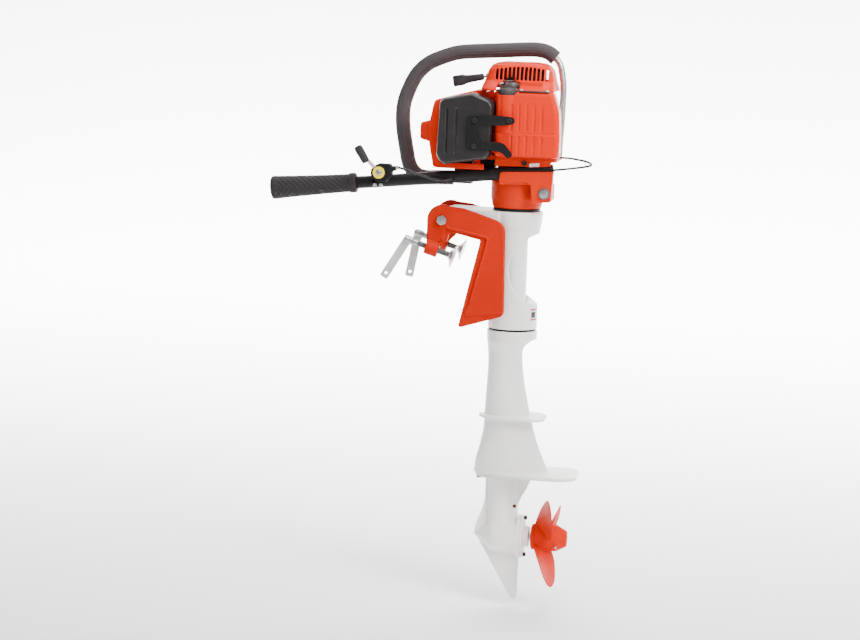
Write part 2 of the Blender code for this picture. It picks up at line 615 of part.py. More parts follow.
def blade(phi0, root_r, tip_r, chords=5, stations=6):
    """A skewed blade on a constant-pitch helix.  phi is measured from straight
    up towards port; it grows going aft."""
    rings = []
    for i in range(stations):
        s = i / (stations - 1)
        r = root_r + (tip_r - root_r) * (1 - (1 - s) ** 1.35)
        q = (r - root_r) / (tip_r - root_r)
        chord = (42.0 + 42.0 * math.sin(math.pi * min(q, 0.62) / 1.24)) * math.sqrt(max(1 - q ** 7.5, 0.035))
        beta = math.atan(PROP_PITCH / (2 * math.pi * r))
        thick = 4.6 * (1 - q) + 1.6
        skew = 13.0 * q * q
        ring = []
        for k in range(2 * chords):
            side = 1 if k < chords else -1
            f = (k / chords if k < chords else 2 - k / chords)          # 0 lead, 1 trail
            along = (f - 0.5) * chord + skew
            bulge = side * thick / 2 * math.sqrt(max(0.0, 4 * f * (1 - f))) if 0 < f < 1 else 0.0
            x = 124.0 + along * math.sin(beta) + bulge * math.cos(beta) + 18.0 * q
            arc = along * math.cos(beta) - bulge * math.sin(beta)
            phi = phi0 + arc / r
            ring.append((x, -math.sin(phi) * r, PROP_Z + math.cos(phi) * r))
        rings.append(ring)
    return loft(rings)


join(hub, *[blade(math.radians(a) - 0.39, 20.0, PROP_R) for a in (180.0, 60.0, -60.0)])
cut(hub, rod(5.4, (90, 0, PROP_Z), (180, 0, PROP_Z), 12))
PIN_X = 151.0
PIN_DIR = Vector((0.0, -math.sin(math.radians(118)), math.cos(math.radians(118))))
hole_c = Vector((PIN_X, 0, PROP_Z))
cut(hub, rod(2.5, hole_c - PIN_DIR * 30, hole_c + PIN_DIR * 30, 10))
cut(shaft, rod(2.5, hole_c - PIN_DIR * 30, hole_c + PIN_DIR * 30, 10))
solid("shear_pin", rod(2.1, hole_c - PIN_DIR * 25.0, hole_c + PIN_DIR * 27.0, 10), "bright_steel")

# ============================================================ drive shaft
solid("drive_shaft", turned(
    [(0, -514.5), (4.2, -514.5), (4.2, 80.0), (6.5, 80.4), (6.5, 88.0), (0, 88.0)],
    (STEER_X, 0, 0), (0, 0, 1), 12), "bright_steel")
solid("clutch_drum", turned(
    [(0, 88.3), (35.5, 88.3), (35.5, 104.0), (32.5, 104.0), (32.5, 91.5), (0, 91.5)],
    (STEER_X, 0, 0), (0, 0, 1), 18), "black_metal")
solid("crankshaft", turned(
    [(0, 92.0), (30.0, 92.0), (30.0, 102.0), (10.0, 102.0), (8.0, 104.0), (8.0, 264.0),
     (5.8, 264.4), (5.8, 281.0), (0, 281.0)], (STEER_X, 0, 0), (0, 0, 1), 12), "bright_steel")


def flywheel_outline(blades=14):
    pts = []
    for i in range(blades):
        for frac, r in ((0.0, 43.6), (0.28, 43.6), (0.36, 30.0), (0.9, 30.0)):
            t = 2 * math.pi * (i + frac) / blades
            pts.append((STEER_X + r * math.cos(t), r * math.sin(t)))
    return pts


flywheel = solid("flywheel_fan", prism(flywheel_outline(), 265.0, 276.5, "Z"), "aluminium")
cut(flywheel, rod(6.2, (STEER_X, 0, 250), (STEER_X, 0, 290), 12))

# ============================================================== powerhead
adapter = solid("adapter_housing", turned(
    [(TUBE_R + 0.4, 56.3), (41.5, 56.3), (43.0, 58.0), (46.5, 75.0), (46.5, ADAPTER_TOP),
     (8.0, ADAPTER_TOP), (8.0, 71.0), (TUBE_R + 0.4, 71.0)],
    (STEER_X, 0, 0), (0, 0, 1), 24), "orange_paint")
join(adapter, prism(rounded([(78.0, 72.0), (120.5, 72.0, 3), (120.5, 101.0, 3), (78.0, 101.0)], 2),
                    -38.2, 4.0))
cut(adapter, rod(38.5, (STEER_X, 0, 84.0), (STEER_X, 0, 120.0), 20),
    rod(4.4, (109.0, -50, 87.2), (109.0, 20, 87.2), 10))


def tiller_point(x, y=TILLER_Y):
    return Vector((x, y, TILLER_Z0 + TILLER_RISE * x))


TILLER_DIR = (tiller_point(1) - tiller_point(0)).normalized()
bracket = solid("tiller_bracket", prism(rounded(
    [(29.5, 99.2, 2), (84.5, 101.5, 2), (87.0, 69.6, 2), (121.0, 72.4, 4), (123.4, 125.6, 2),
     (30.5, 121.2, 5)], 2), -59.0, -38.6), "orange_paint")
cut(bracket, rod(TILLER_R + 0.35, tiller_point(10), tiller_point(140), 20),
    box(10, 90.0, -48.0, -30, 90, 103.4),
    box(84.0, 98.0, -48.5, -30, 60, 103.4),
    rod(4.4, (109.0, -70, 87.2), (109.0, 20, 87.2), 10),
    loft([[tuple(tiller_point(10) + Vector((0, dy, dz))) for dy, dz in
           ((-9.0, 6.0), (30.0, -2.0), (30.0, 30.0), (-9.0, 30.0))],
          [tuple(tiller_point(140) + Vector((0, dy, dz))) for dy, dz in
           ((-9.0, 6.0), (30.0, -2.0), (30.0, 30.0), (-9.0, 30.0))]]))
solid("tiller_bracket_bolt",
      bolt((109.0, -59.3, 87.2), (0, -1, 0), 4.0, 62.0, 12.5, 5.0, 10.0, 1.6), "zinc")

tube = solid("tiller_tube", pipe(TILLER_R, TILLER_BORE, tiller_point(TILLER_X0), tiller_point(TILLER_X1), 16),
             "black_metal")
cut(tube, rod(3.8, (-69.0, -63.4, 99.4), (-43.7, -41.8, 109.5), 10))
grip_axis = tiller_point(GRIP_X0)
GRIP_L = (tiller_point(GRIP_X1) - grip_axis).length
solid("tiller_grip", turned(
    [(0, 0), (17.0, 0), (20.2, 2.5), (20.6, 8.0), (19.0, 40.0), (17.0, 95.0), (15.8, GRIP_L - 3.0),
     (17.6, GRIP_L - 1.5), (17.6, GRIP_L + 8.5), (TILLER_R + 0.3, GRIP_L + 8.5),
     (TILLER_R + 0.3, 4.3), (0, 4.3)],
    grip_axis, TILLER_DIR, 16), "rubber")

# throttle: a clamp on the tube, a housing beside it, a lever on a screw
THROTTLE = Vector((-179.2, -76.0, 112.1))
tc = tiller_point(-184.5)
saddle = solid("throttle_clamp", pipe(15.5, TILLER_R + 0.3, tc - TILLER_DIR * 9, tc + TILLER_DIR * 9, 20),
               "black_plastic")
ears_at = [Vector((-189.6, -53.0, 0)), Vector((-178.6, -53.0, 0))]
join(saddle, box(-195.0, -173.0, -62.0, -50.0, 90.5, 100.0))
cut(saddle, rod(TILLER_R + 0.3, tiller_point(-220), tiller_point(-150), 20),
    *[rod(1.8, (p.x, -57.0, 80), (p.x, -57.0, 110), 8) for p in ears_at])
house_outline = rounded([(-168.0, 95.5, 5), (-157.0, 108.0, 5), (-159.5, 127.0, 4), (-181.0, 127.5, 6),
                         (-194.0, 120.0, 8), (-195.5, 106.0, 8), (-184.0, 96.0, 6)], 3)
house = solid("throttle_housing", prism(house_outline, -72.0, -55.0), "black_plastic")
join(house, box(-194.0, -173.5, -66.0, -57.0, 100.4, 112.0),
     turned([(0, 0), (5.0, 0), (4.4, 9.0), (0, 9.0)], (-160.0, -64.5, 118.0),
            (0.96, 0, 0.28), 12))
cut(house, rod(15.9, tiller_point(-220), tiller_point(-140), 20),
    box(-195.5, -172.5, -62.4, -45.0, 90.0, 100.3),
    rod(2.2, (THROTTLE.x, -80, THROTTLE.z), (THROTTLE.x, -58, THROTTLE.z), 10),
    rod(2.4, (-166.0, -64.5, 116.3), (-140.0, -64.5, 123.8), 10))
solid("throttle_screw", turned([(0, -4.5), (5.0, -4.5), (5.0, -1.5), (1.9, -1.5), (1.9, 14.0), (0, 14.0)],
                               (THROTTLE.x, -78.6, THROTTLE.z), (0, 1, 0), 12), "bright_steel")
LEVER_DIR = Vector((-0.70, 0, 0.714)).normalized()
side_dir = Vector((LEVER_DIR.z, 0, -LEVER_DIR.x))
t = [THROTTLE + LEVER_DIR * a + side_dir * b for a, b in
     ((9, -3.5), (35, -3.0), (35, 3.0), (9, 3.5))]
lever = solid("throttle_lever", turned([(2.4, -79.0), (12.0, -79.0), (12.0, -72.4), (2.4, -72.4)],
                                       (THROTTLE.x, 0, THROTTLE.z), (0, 1, 0), 16), "pale_zinc")
join(lever, loft([[(p.x, -78.2, p.z) for p in t], [(p.x, -75.8, p.z) for p in t]]))
cut(lever, rod(2.4, (THROTTLE.x, -85, THROTTLE.z), (THROTTLE.x, -65, THROTTLE.z), 12),
    turned([(0, -81.0), (8.9, -81.0), (8.9, -77.0), (0, -77.0)], (THROTTLE.x, 0, THROTTLE.z), (0, 1, 0), 16))
KNOB_A = Vector((-201.5, -77.0, 128.6))
KNOB_DIR = Vector((-10.5, 0, 16.9)).normalized()
knob_side = Vector((KNOB_DIR.z, 0, -KNOB_DIR.x))
rings = []
for d, hw, ht in ((0.0, 5.2, 4.0), (1.2, 6.4, 5.6), (10.0, 7.0, 6.2), (24.0, 7.4, 6.6), (31.0, 6.6, 5.8), (33.0, 4.8, 4.0)):
    c = KNOB_A + KNOB_DIR * d
    rings.append([tuple(c + knob_side * (hw * math.copysign(abs(math.cos(a)) ** 0.7, math.cos(a)))
                        + Vector((0, 1, 0)) * (ht * math.copysign(abs(math.sin(a)) ** 0.7, math.sin(a))))
                  for a in [2 * math.pi * k / 12 for k in range(12)]])
knob = solid("throttle_knob", loft(rings), "rubber")
k = [THROTTLE + LEVER_DIR * a + side_dir * b for a, b in ((20, -3.8), (36, -3.3), (36, 3.3), (20, 3.8))]
cut(knob, loft([[(p.x, -78.5, p.z) for p in k], [(p.x, -75.5, p.z) for p in k]]))

# the throttle cable: held at both ends, along the tube's inside between them
cable_route = [(-153.0, -64.5, 120.0), (-145.0, -64.6, 121.0), (-122.0, -65.0, 114.5), (-92.0, -63.0, 105.6),
               (-70.0, -59.5, 102.2), (-58.0, -54.0, 103.8), (-47.0, -44.6, 108.2), (-30.0, TILLER_Y, 111.0),
               (0.0, TILLER_Y, 114.0), (60.0, TILLER_Y, 120.6), (118.0, TILLER_Y, 127.0),
               (150.0, -36.0, 131.0), (174.0, -24.0, 134.2), (184.0, -6.0, 137.0),
               (174.0, 11.0, 141.0), (150.0, 18.2, 144.4), (138.0, 19.0, 145.3), (123.5, 19.0, 145.3)]
cable_points = curve(cable_route, 3)
cable_curve = bpy.data.curves.new("throttle_cable", "CURVE")
cable_curve.dimensions = "3D"
line = cable_curve.splines.new("POLY")
line.points.add(len(cable_points) - 1)
for point, p in zip(line.points, cable_points):
    point.co = (p.x * MM, p.y * MM, p.z * MM, 1.0)
cable_curve.bevel_depth = 2.0 * MM
cable_curve.bevel_resolution = 2
cable_curve.use_fill_caps = True
cable = bpy.data.objects.new("throttle_cable", cable_curve)
bpy.context.scene.collection.objects.link(cable)
cable_curve.materials.append(MATERIALS["black_plastic"])
PIECES.append(cable)

# engine base: a deck on a hollow pedestal over the clutch
deck = rounded([(-62.0, -30.0, 6), (-30.0, -39.4, 12), (17.5, -39.4), (22.0, -52.0, 4), (127.0, -52.0, 12),
                (127.0, 52.0, 12), (8.0, 52.0, 4), (3.0, 47.2), (-30.0, 47.2, 8), (-62.0, 42.0, 6)], 3)
base = solid("engine_base", prism(deck, BASE_Z0, BASE_Z1, "Z"), "orange_paint")
join(base, turned([(18.0, ADAPTER_TOP + 0.3), (46.0, ADAPTER_TOP + 0.3), (46.0, ADAPTER_TOP + 5.0),
                   (36.0, ADAPTER_TOP + 12.0), (38.0, BASE_Z0 + 2.0), (18.0, BASE_Z0 + 2.0)],
                  (STEER_X, 0, 0), (0, 0, 1), 20))
cut(base, rod(17.0, (STEER_X, 0, 90), (STEER_X, 0, 160), 20),
    turned([(0, 100.0), (37.5, 100.0), (37.5, 107.5), (0, 107.5)], (STEER_X, 0, 0), (0, 0, 1), 24),
    rod(TILLER_R + 0.6, tiller_point(-80), tiller_point(140), 20),
    box(27.0, 126.0, -70.0, -38.3, 90.0, 140.6),
    rod(2.9, (120.0, 19.0, 145.3), (140.0, 19.0, 145.3), 8))
crank = solid("crankcase", loft([rect_ring(STEER_X, 0, 53.0, 27.5, 12.0, z) for z in (BASE_Z1 + 0.3, 236.0)]
                                + [rect_ring(STEER_X, 0, 44.0, 27.0, 12.0, 240.0),
                                   rect_ring(STEER_X, 0, 44.0, 27.0, 12.0, CASE_Z1)]), "aluminium")
cut(crank, rod(8.6, (STEER_X, 0, 140), (STEER_X, 0, 270), 14))
fins = [(0, 57.0), (22.0, 57.0)]
for i in range(5):
    x = 66.0 + 14.0 * i
    fins += [(22.0, x), (35.5, x), (35.5, x + 3.0), (22.0, x + 3.0)]
fins += [(22.0, 134.0), (30.0, 134.0), (30.0, 140.0), (6.2, 140.0), (6.2, 128.0), (0, 128.0)]
solid("cylinder", turned(fins, (STEER_X + 3.0, 0, 185.0), (-1, 0, 0), 14), "aluminium")
solid("spark_plug", turned([(0, 129.0), (5.6, 129.0), (5.6, 140.6), (9.0, 140.6), (9.0, 146.0), (6.5, 147.0),
                            (6.5, 166.0), (0, 166.0)], (STEER_X + 3.0, 0, 185.0), (-1, 0, 0), 12),
      "black_plastic")

# cylinder shroud: a thin cowl, open aft and below, with a bulge over the plug
shroud_side = rounded([(-79.0, 123.0, 3), (-89.0, 124.5, 6), (-97.0, 166.0, 2), (-97.0, 205.0, 2), (-90.0, 241.0, 8),
                       (-14.0, 261.3, 6), (1.0, 261.3), (1.0, 123.0)], 2)
shroud = solid("cylinder_shroud", prism(shroud_side, -51.0, 51.0), "orange_plastic")
chin = [[(-97.0 - d, y * s, 185.0 + z * s2) for y, z in
         rounded([(-30, -20, 8), (30, -20, 8), (30, 20, 8), (-30, 20, 8)], 2)]
        for d, s, s2 in ((-6.0, 1.0, 1.0), (0.0, 1.0, 1.0), (20.5, 0.82, 0.72))]
join(shroud, loft(chin))
inner_side = rounded([(-70.0, 110.0), (-86.0, 127.5, 5), (-94.0, 166.0, 2), (-94.0, 205.0, 2), (-87.0, 238.5, 8),
                      (-14.0, 258.4, 5), (20.0, 258.4), (20.0, 110.0)], 2)
inner_chin = [[(-97.0 - d, y * s, 185.0 + z * s2) for y, z in
               rounded([(-27, -17, 6), (27, -17, 6), (27, 17, 6), (-27, 17, 6)], 2)]
              for d, s, s2 in ((-12.0, 1.0, 1.0), (17.5, 0.82, 0.72))]
window = rounded([(-79.0, 133.0, 8), (-79.0, 240.0, 10), (-18.0, 253.0, 6), (8.0, 253.0), (8.0, 133.0)], 2)
cut(shroud, prism(inner_side, -48.0, 48.0), loft(inner_chin), prism(window, -60.0, -40.0),
    box(-72, 10, 45, 60, 150, 225))

# fuel tank on the port side, and its cap
tank = solid("fuel_tank", loft([
    rect_ring(77.0, -54.0, 52.0, 20.0, 8.0, 149.4), rect_ring(77.0, -54.0, 56.0, 23.0, 9.0, 153.0),
    rect_ring(77.0, -54.0, 56.5, 23.8, 9.0, 189.0), rect_ring(77.0, -54.0, 55.5, 22.8, 9.0, 190.2),
    rect_ring(77.0, -54.0, 56.0, 23.4, 9.0, 191.4), rect_ring(76.0, -54.0, 55.0, 23.4, 9.0, 228.0),
    rect_ring(71.5, -54.0, 50.5, 22.8, 8.0, 258.0), rect_ring(71.5, -54.0, 47.0, 19.0, 6.0, CASE_Z1)]),
    "orange_plastic")
CAP = (40.0, -63.0)
join(tank, rod(17.8, (CAP[0], CAP[1], 236.0), (CAP[0], CAP[1], 257.0), 18))
cut(tank, rod(18.8, (CAP[0], CAP[1], 255.7), (CAP[0], CAP[1], 270.0), 18))
join(tank, rod(13.3, (CAP[0], CAP[1], 250.0), (CAP[0], CAP[1], 262.6), 18))
cut(tank, rod(10.0, (CAP[0], CAP[1], 200.0), (CAP[0], CAP[1], 270.0), 16),
    box(48.0, 112.0, -70.0, -38.0, 160.0, 222.0))
cap = solid("fuel_cap", turned([(0, 254.6), (9.4, 254.6), (9.4, 263.0), (14.6, 263.0), (14.6, 256.2), (17.4, 256.2),
                                (17.4, 262.0), (15.0, 266.0), (9.0, 268.0), (0, 268.0)],
                               (CAP[0], CAP[1], 0), (0, 0, 1), 20), "grey_plastic")
join(cap, box(CAP[0] - 15.0, CAP[0] + 15.0, CAP[1] - 3.6, CAP[1] + 3.6, 264.2, 274.0))
# starter cover: a cowl with slots on both long sides, open below
cover = solid("starter_cover", loft([
    rect_ring(STEER_X - 0.5, -6.0, 64.2, 66.0, 26.0, COVER_Z0, 3), rect_ring(STEER_X - 0.5, -5.0, 63.2, 62.0, 26.0, 268.0, 3),
    rect_ring(STEER_X - 0.5, 0.0, 60.6, 47.0, 26.0, 279.0, 3), rect_ring(STEER_X, 0.0, 56.0, 42.0, 24.0, 297.0, 3),
    rect_ring(STEER_X, 0.0, 50.0, 37.0, 22.0, 305.0, 3), rect_ring(STEER_X, 0.0, 30.0, 22.0, 16.0, COVER_Z1, 3)]),
    "orange_plastic")
hollow = loft([
    rect_ring(STEER_X - 0.5, -5.0, 60.8, 60.0, 24.0, COVER_Z0 - 2, 3), rect_ring(STEER_X - 0.5, -3.0, 59.6, 56.0, 24.0, 267.0, 3),
    rect_ring(STEER_X - 0.5, 0.0, 57.4, 43.8, 24.0, 279.0, 3), rect_ring(STEER_X, 0.0, 52.8, 38.8, 22.0, 297.0, 3),
    rect_ring(STEER_X, 0.0, 47.0, 34.0, 20.0, 303.0, 3), rect_ring(STEER_X, 0.0, 30.0, 22.0, 14.0, 307.5, 3)])
slots = [box(15.2 + 7.2 * i, 19.4 + 7.2 * i, -60.0, 60.0, 280.6, 302.6) for i in range(13)]
cut(cover, hollow, rod(20.5, (CAP[0], CAP[1], 250.0), (CAP[0], CAP[1], 300.0), 20), *slots,
    rod(3.2, (-40.0, ROPE_Y, 277.5), (40.0, ROPE_Y, 292.6), 10))
ROPE_DIR = Vector((-math.cos(math.radians(11.0)), 0, -math.sin(math.radians(11.0))))   # outwards
ROPE_OUT = Vector((-4.2, ROPE_Y, 284.4))
join(cover, rod(5.9, (STEER_X, 0, 283.5), (STEER_X, 0, 309.0), 12))
reel = solid("starter_reel", turned([(6.4, 285.0), (24.5, 285.0), (24.5, 287.5), (REEL_R - 2.0, 288.5),
                                     (REEL_R - 2.0, 296.5), (24.5, 297.5), (24.5, 300.0), (6.4, 300.0)],
                                    (STEER_X, 0, 0), (0, 0, 1), 18), "black_plastic")

neck = ROPE_OUT + ROPE_DIR * 4.8
rings = []
for d, hy, hz, r in ((0.0, 5.6, 5.6, 4.6), (22.0, 6.6, 6.6, 5.0), (34.0, 7.6, 7.8, 4.0), (36.0, 8.6, 9.2, 2.5),
                     (52.0, 9.0, 9.6, 2.5), (54.0, 7.6, 8.2, 2.5)):
    c = neck + ROPE_DIR * d
    up = Vector((0, 1, 0)).cross(ROPE_DIR)
    rings.append([tuple(c + Vector((0, 1, 0)) * a + up * b) for a, b in
                  rounded([(hy, -hz, r), (hy, hz, r), (-hy, hz, r), (-hy, -hz, r)], 2)])
grip = solid("starter_grip", loft(rings), "rubber")
cut(grip, rod(2.3, neck - ROPE_DIR * 5, neck + ROPE_DIR * 30.0, 8))
solid("starter_rope", rod(1.7, Vector((30.0, ROPE_Y, 291.1)), neck + ROPE_DIR * 29.0, 8), "rubber")

# muffler with its bracket, on the port side
muffler = solid("muffler", loft([
    [(x, y, z) for x, z in rounded([(-63.0, 137.5, r), (13.0, 152.0, r), (15.4, 238.0, r), (-19.0, 251.5, r),
                                    (-71.0, 240.0, r), (-73.0, 150.0, r)], 3)]
    for y, r in ((-40.0, 12.0), (-84.0, 12.0))]
    + [[(x * 0.94 - 1.7, -89.0, (z - 195.0) * 0.94 + 195.0) for x, z in
        rounded([(-63.0, 137.5, 14), (13.0, 152.0, 14), (15.4, 238.0, 14), (-19.0, 251.5, 14),
                 (-71.0, 240.0, 14), (-73.0, 150.0, 14)], 3)]]), "black_metal")
bracket_outline = rounded([(-26.0, 158.5, 7), (14.0, 160.0, 8), (36.0, 158.0, 18), (47.5, 147.0, 4), (57.0, 153.0, 6),
                           (38.0, 175.5, 18), (-4.0, 172.5, 10), (-4.0, 203.0, 5), (36.0, 203.5, 5),
                           (57.0, 207.0, 6), (57.0, 218.0, 6), (30.0, 220.5, 6), (-26.0, 217.0, 5)], 3)
plate = solid("muffler_bracket", prism(bracket_outline, -92.4, -89.4), "black_metal")
BRACKET_SCREWS = ((-2.4 - 10.0, 211.0), (-12.0, 166.5))
join(plate, rod(5.6, (48.5, -90.0, 212.4), (48.5, -78.4, 212.4), 14),
     rod(5.6, (45.0, -90.0, 156.5), (45.0, -78.4, 156.5), 14))

# carburettor and air cleaner on the starboard side
carb = solid("carburettor", loft([rect_ring(38.0, 43.0, 17.0, 14.6, 4.0, z) for z in (166.0, 204.0)]), "aluminium")
solid("air_cleaner", loft([
    [(x, y, z) for x, z in rounded([(4, 152, r), (82, 152, r), (82, 232, r), (4, 232, r)], 2)]
    for y, r in ((58.2, 14.0), (84.0, 14.0))]
    + [[((x - 43) * 0.86 + 43, 90.0, (z - 192) * 0.86 + 192) for x, z in
        rounded([(4, 152, 16), (82, 152, 16), (82, 232, 16), (4, 232, 16)], 2)]]), "black_plastic")
solid("ignition_coil", loft([rect_ring(84.0, 40.0, 13.0, 11.6, 3.0, z) for z in (226.0, 256.0)]), "black_plastic")

# carry handle: bent rod in a sleeve, held by two mounts
handle_line = [(-64.0, 101.0), (-92.0, 100.0), (-116.0, 99.4), (-132.5, 105.5), (-144.0, 122.0), (-150.5, 150.0),
               (-156.0, 180.0), (-158.2, 205.0), (-156.6, 229.0), (-148.7, 254.5), (-135.2, 281.1),
               (-115.0, 301.0), (-89.6, 313.2), (-63.7, 321.7), (-37.0, 325.0), (-11.5, 326.8), (25.0, 329.4),
               (55.0, 331.6), (79.3, 332.0), (97.0, 327.8), (110.0, 318.6)]
rod_tail = [(118.4, 307.0), (122.4, 292.0), (125.6, 270.0), (125.8, 240.0), (124.6, 200.0), (123.2, 165.0),
            (123.2, 149.4)]
rod_head = [(-36.0, 101.4), (-50.0, 101.2)]


def in_plane(points):
    return [Vector((x, HANDLE_Y, z)) for x, z in points]


sleeve_path = curve(in_plane(handle_line), 1)
rod_path = curve(in_plane(rod_head + handle_line + rod_tail), 1)
solid("carry_rod", swept(rod_path, HANDLE_ROD_R - 0.1, 8), "bright_steel")


def sleeve_shell(path, outer, inner, seg):
    outside, inside = [], []
    normal = None
    for i, p in enumerate(path):
        along = (path[min(i + 1, len(path) - 1)] - path[max(i - 1, 0)]).normalized()
        if normal is None:
            normal = basis(along)[0]
        normal = (normal - along * normal.dot(along)).normalized()
        side_v = along.cross(normal)
        for r, rows in ((outer, outside), (inner, inside)):
            rows.append([tuple(p + (normal * math.cos(2 * math.pi * j / seg)
                                    + side_v * math.sin(2 * math.pi * j / seg)) * r)
                         for j in range(seg)])
    return loft(outside + list(reversed(inside)), closed=True)


solid("carry_grip", sleeve_shell(sleeve_path, HANDLE_SLEEVE_R, HANDLE_ROD_R + 0.6, 8), "rubber")
mount = solid("handle_mount_front", box(-61.0, -29.0, 17.0, 44.0, 92.0, BASE_Z0 - 0.3), "black_plastic")
cut(mount, rod(HANDLE_ROD_R + 0.4, (-80.0, HANDLE_Y, 101.45), (-34.5, HANDLE_Y, 101.45), 14),
    rod(HANDLE_SLEEVE_R + 1.0, (-80.0, HANDLE_Y, 101.2), (-59.0, HANDLE_Y, 101.2), 14))

# ------------------------------------------------- pivots for moving bodies
PIVOTS = {
    "tilt_axis": ((PIVOT[0], 0, PIVOT[2]), ["swivel_bracket", "swivel_bush_upper", "swivel_bush_lower"]),
    "propeller_axis": ((133.0, 0, PROP_Z), ["propeller", "prop_shaft", "drive_gear", "shear_pin"]),
    "drive_axis": ((STEER_X, 0, 0), ["drive_shaft", "pinion_gear", "clutch_drum", "crankshaft", "flywheel_fan"]),
    "throttle_axis": (tuple(THROTTLE), ["throttle_lever", "throttle_knob"]),
    "starter_axis": (tuple(neck), ["starter_grip"]),
    "reel_axis": ((STEER_X, 0, 292.5), ["starter_reel"]),
    "cap_axis": ((CAP[0], CAP[1], 262.0), ["fuel_cap"]),
}
for side, sign in (("port", -1), ("starboard", 1)):
    PIVOTS[f"screw_axis_{side}"] = (tuple(on_screw(0, sign * SCREW_Y)),
                                    [f"clamp_screw_{side}", f"clamp_pad_{side}"])
    PIVOTS[f"fold_axis_{side}"] = (tuple(on_screw(-FOLD_AT, sign * SCREW_Y)), [f"clamp_handle_{side}"])
moved = {name for _, names in PIVOTS.values() for name in names}
PIVOTS["steering_axis"] = ((STEER_X, 0, 0), [
    piece.name for piece in PIECES
    if piece.name not in moved and not piece.name.startswith(("clamp_bracket", "tilt_"))])
for name, (where, names) in PIVOTS.items():
    empty = bpy.data.objects.new(name, None)
    empty.empty_display_size = 0.03
    empty.location = Vector(where) * MM
    bpy.context.scene.collection.objects.link(empty)
    shift = Matrix.Translation(-Vector(where) * MM)
    for piece in names:
        obj = bpy.data.objects[piece]
        obj.data.transform(shift)
        obj.parent = empty
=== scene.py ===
"""Looks of a small portable outboard motor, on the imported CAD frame.

Frame: +X aft, +Y starboard, +Z up, origin at the middle of the transom's top
aft corner.  Shapes below are in millimetres and are scaled to metres.
"""
import json
import math

import bmesh
import bpy
from mathutils import Matrix, Vector, noise


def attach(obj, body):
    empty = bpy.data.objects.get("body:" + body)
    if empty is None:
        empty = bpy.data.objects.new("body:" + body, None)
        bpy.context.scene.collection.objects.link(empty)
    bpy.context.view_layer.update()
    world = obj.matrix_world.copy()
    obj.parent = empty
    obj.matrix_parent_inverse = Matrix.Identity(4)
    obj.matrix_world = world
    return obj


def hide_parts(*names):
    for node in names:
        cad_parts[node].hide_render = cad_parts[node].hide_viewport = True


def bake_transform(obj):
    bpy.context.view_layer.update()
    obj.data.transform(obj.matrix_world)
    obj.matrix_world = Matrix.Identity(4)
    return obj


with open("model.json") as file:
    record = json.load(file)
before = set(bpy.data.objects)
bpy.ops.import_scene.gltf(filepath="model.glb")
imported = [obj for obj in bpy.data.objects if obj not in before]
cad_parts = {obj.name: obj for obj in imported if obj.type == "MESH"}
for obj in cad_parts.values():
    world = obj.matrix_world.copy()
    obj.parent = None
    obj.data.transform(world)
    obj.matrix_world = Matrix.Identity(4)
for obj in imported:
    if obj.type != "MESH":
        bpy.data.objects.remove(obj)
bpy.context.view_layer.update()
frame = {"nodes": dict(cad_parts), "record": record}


MM = 0.001
BODY_OF = {node: body for body, names in frame["record"]["behaviour"]["bodies"].items()
           for node in names}

# ------------------------------------------------------------ driving sizes
RAKE = math.radians(12.6)
PIVOT = (-68.4, 0.0, 32.4)
STEER_X = 55.5
PLATE_IN, PLATE_T = 47.5, 6.0
PAD_T = 2.5
OUTER = PLATE_IN + PLATE_T + PAD_T
SCREW_Y = 56.0
SCREW_SLOPE = math.radians(17.4)
BOSS = (-84.5, -18.0)
SCREW_R = 5.6
SCREW_LEAD = 1.75
FOLD_AT = 45.5
HANDLE_LEAN = {"port": 31.0, "starboard": 10.4}
HANDLE_L, HANDLE_W, HANDLE_T = 87.0, 15.0, 3.0
PAD_AT = 36.5
COLLAR_TOP, COLLAR_LOW = 51.0, 13.6
SWIVEL_BOTTOM = -157.0
TUBE_R = 22.3
LEG_TOP = -160.4
PLATE_Z = -414.0
CASE_TOP = -420.4
PROP_Z = -532.4
PROP_X0, PROP_X1 = 104.4, 168.8
PROP_R = 88.0
PROP_PITCH = 115.0
TILLER_Y = -41.0
TILLER_R, TILLER_BORE = 11.0, 9.0
TILLER_Z0, TILLER_RISE = 113.8, 0.107
TILLER_X0, TILLER_X1 = -372.0, 121.5
GRIP_X0, GRIP_X1 = -376.5, -233.0
ADAPTER_TOP = 103.0
BASE_Z0, BASE_Z1 = 141.0, 149.0
CASE_Z1 = 261.6
COVER_Z0, COVER_Z1 = 262.0, 311.0
REEL_R = 20.0
ROPE_Y = -20.0
HANDLE_Y = 30.0
HANDLE_ROD_R, HANDLE_SLEEVE_R = 6.0, 13.0
CAP = (40.0, -63.0)
SCREW_AXIS = Vector((math.cos(SCREW_SLOPE), 0, -math.sin(SCREW_SLOPE)))

# ============================================================ camera
scene = bpy.context.scene


def aim(obj, place, target, roll=0.0):
    """Put obj at place, looking at target; roll turns the picture clockwise."""
    back = (Vector(place) - Vector(target)).normalized()
    right = Vector((0, 0, 1)).cross(back).normalized()
    up = back.cross(right)
    c, s = math.cos(roll), math.sin(roll)
    r2, u2 = right * c + up * s, up * c - right * s
    obj.matrix_world = Matrix(((r2.x, u2.x, back.x, place[0]), (r2.y, u2.y, back.y, place[1]),
                               (r2.z, u2.z, back.z, place[2]), (0, 0, 0, 1)))


camera_data = bpy.data.cameras.new("camera")
camera_data.sensor_width = 36.0
camera_data.lens = 2500.0 / 860.0 * 36.0
camera_data.clip_end = 60.0
camera = bpy.data.objects.new("camera", camera_data)
scene.collection.objects.link(camera)
aim(camera, (0.59729905, -4.35350018, 0.45906439), (-0.09222764, 0.0, -0.15256384),
    math.radians(2.0))
scene.camera = camera


# ================================================================ materials
MATS = {}


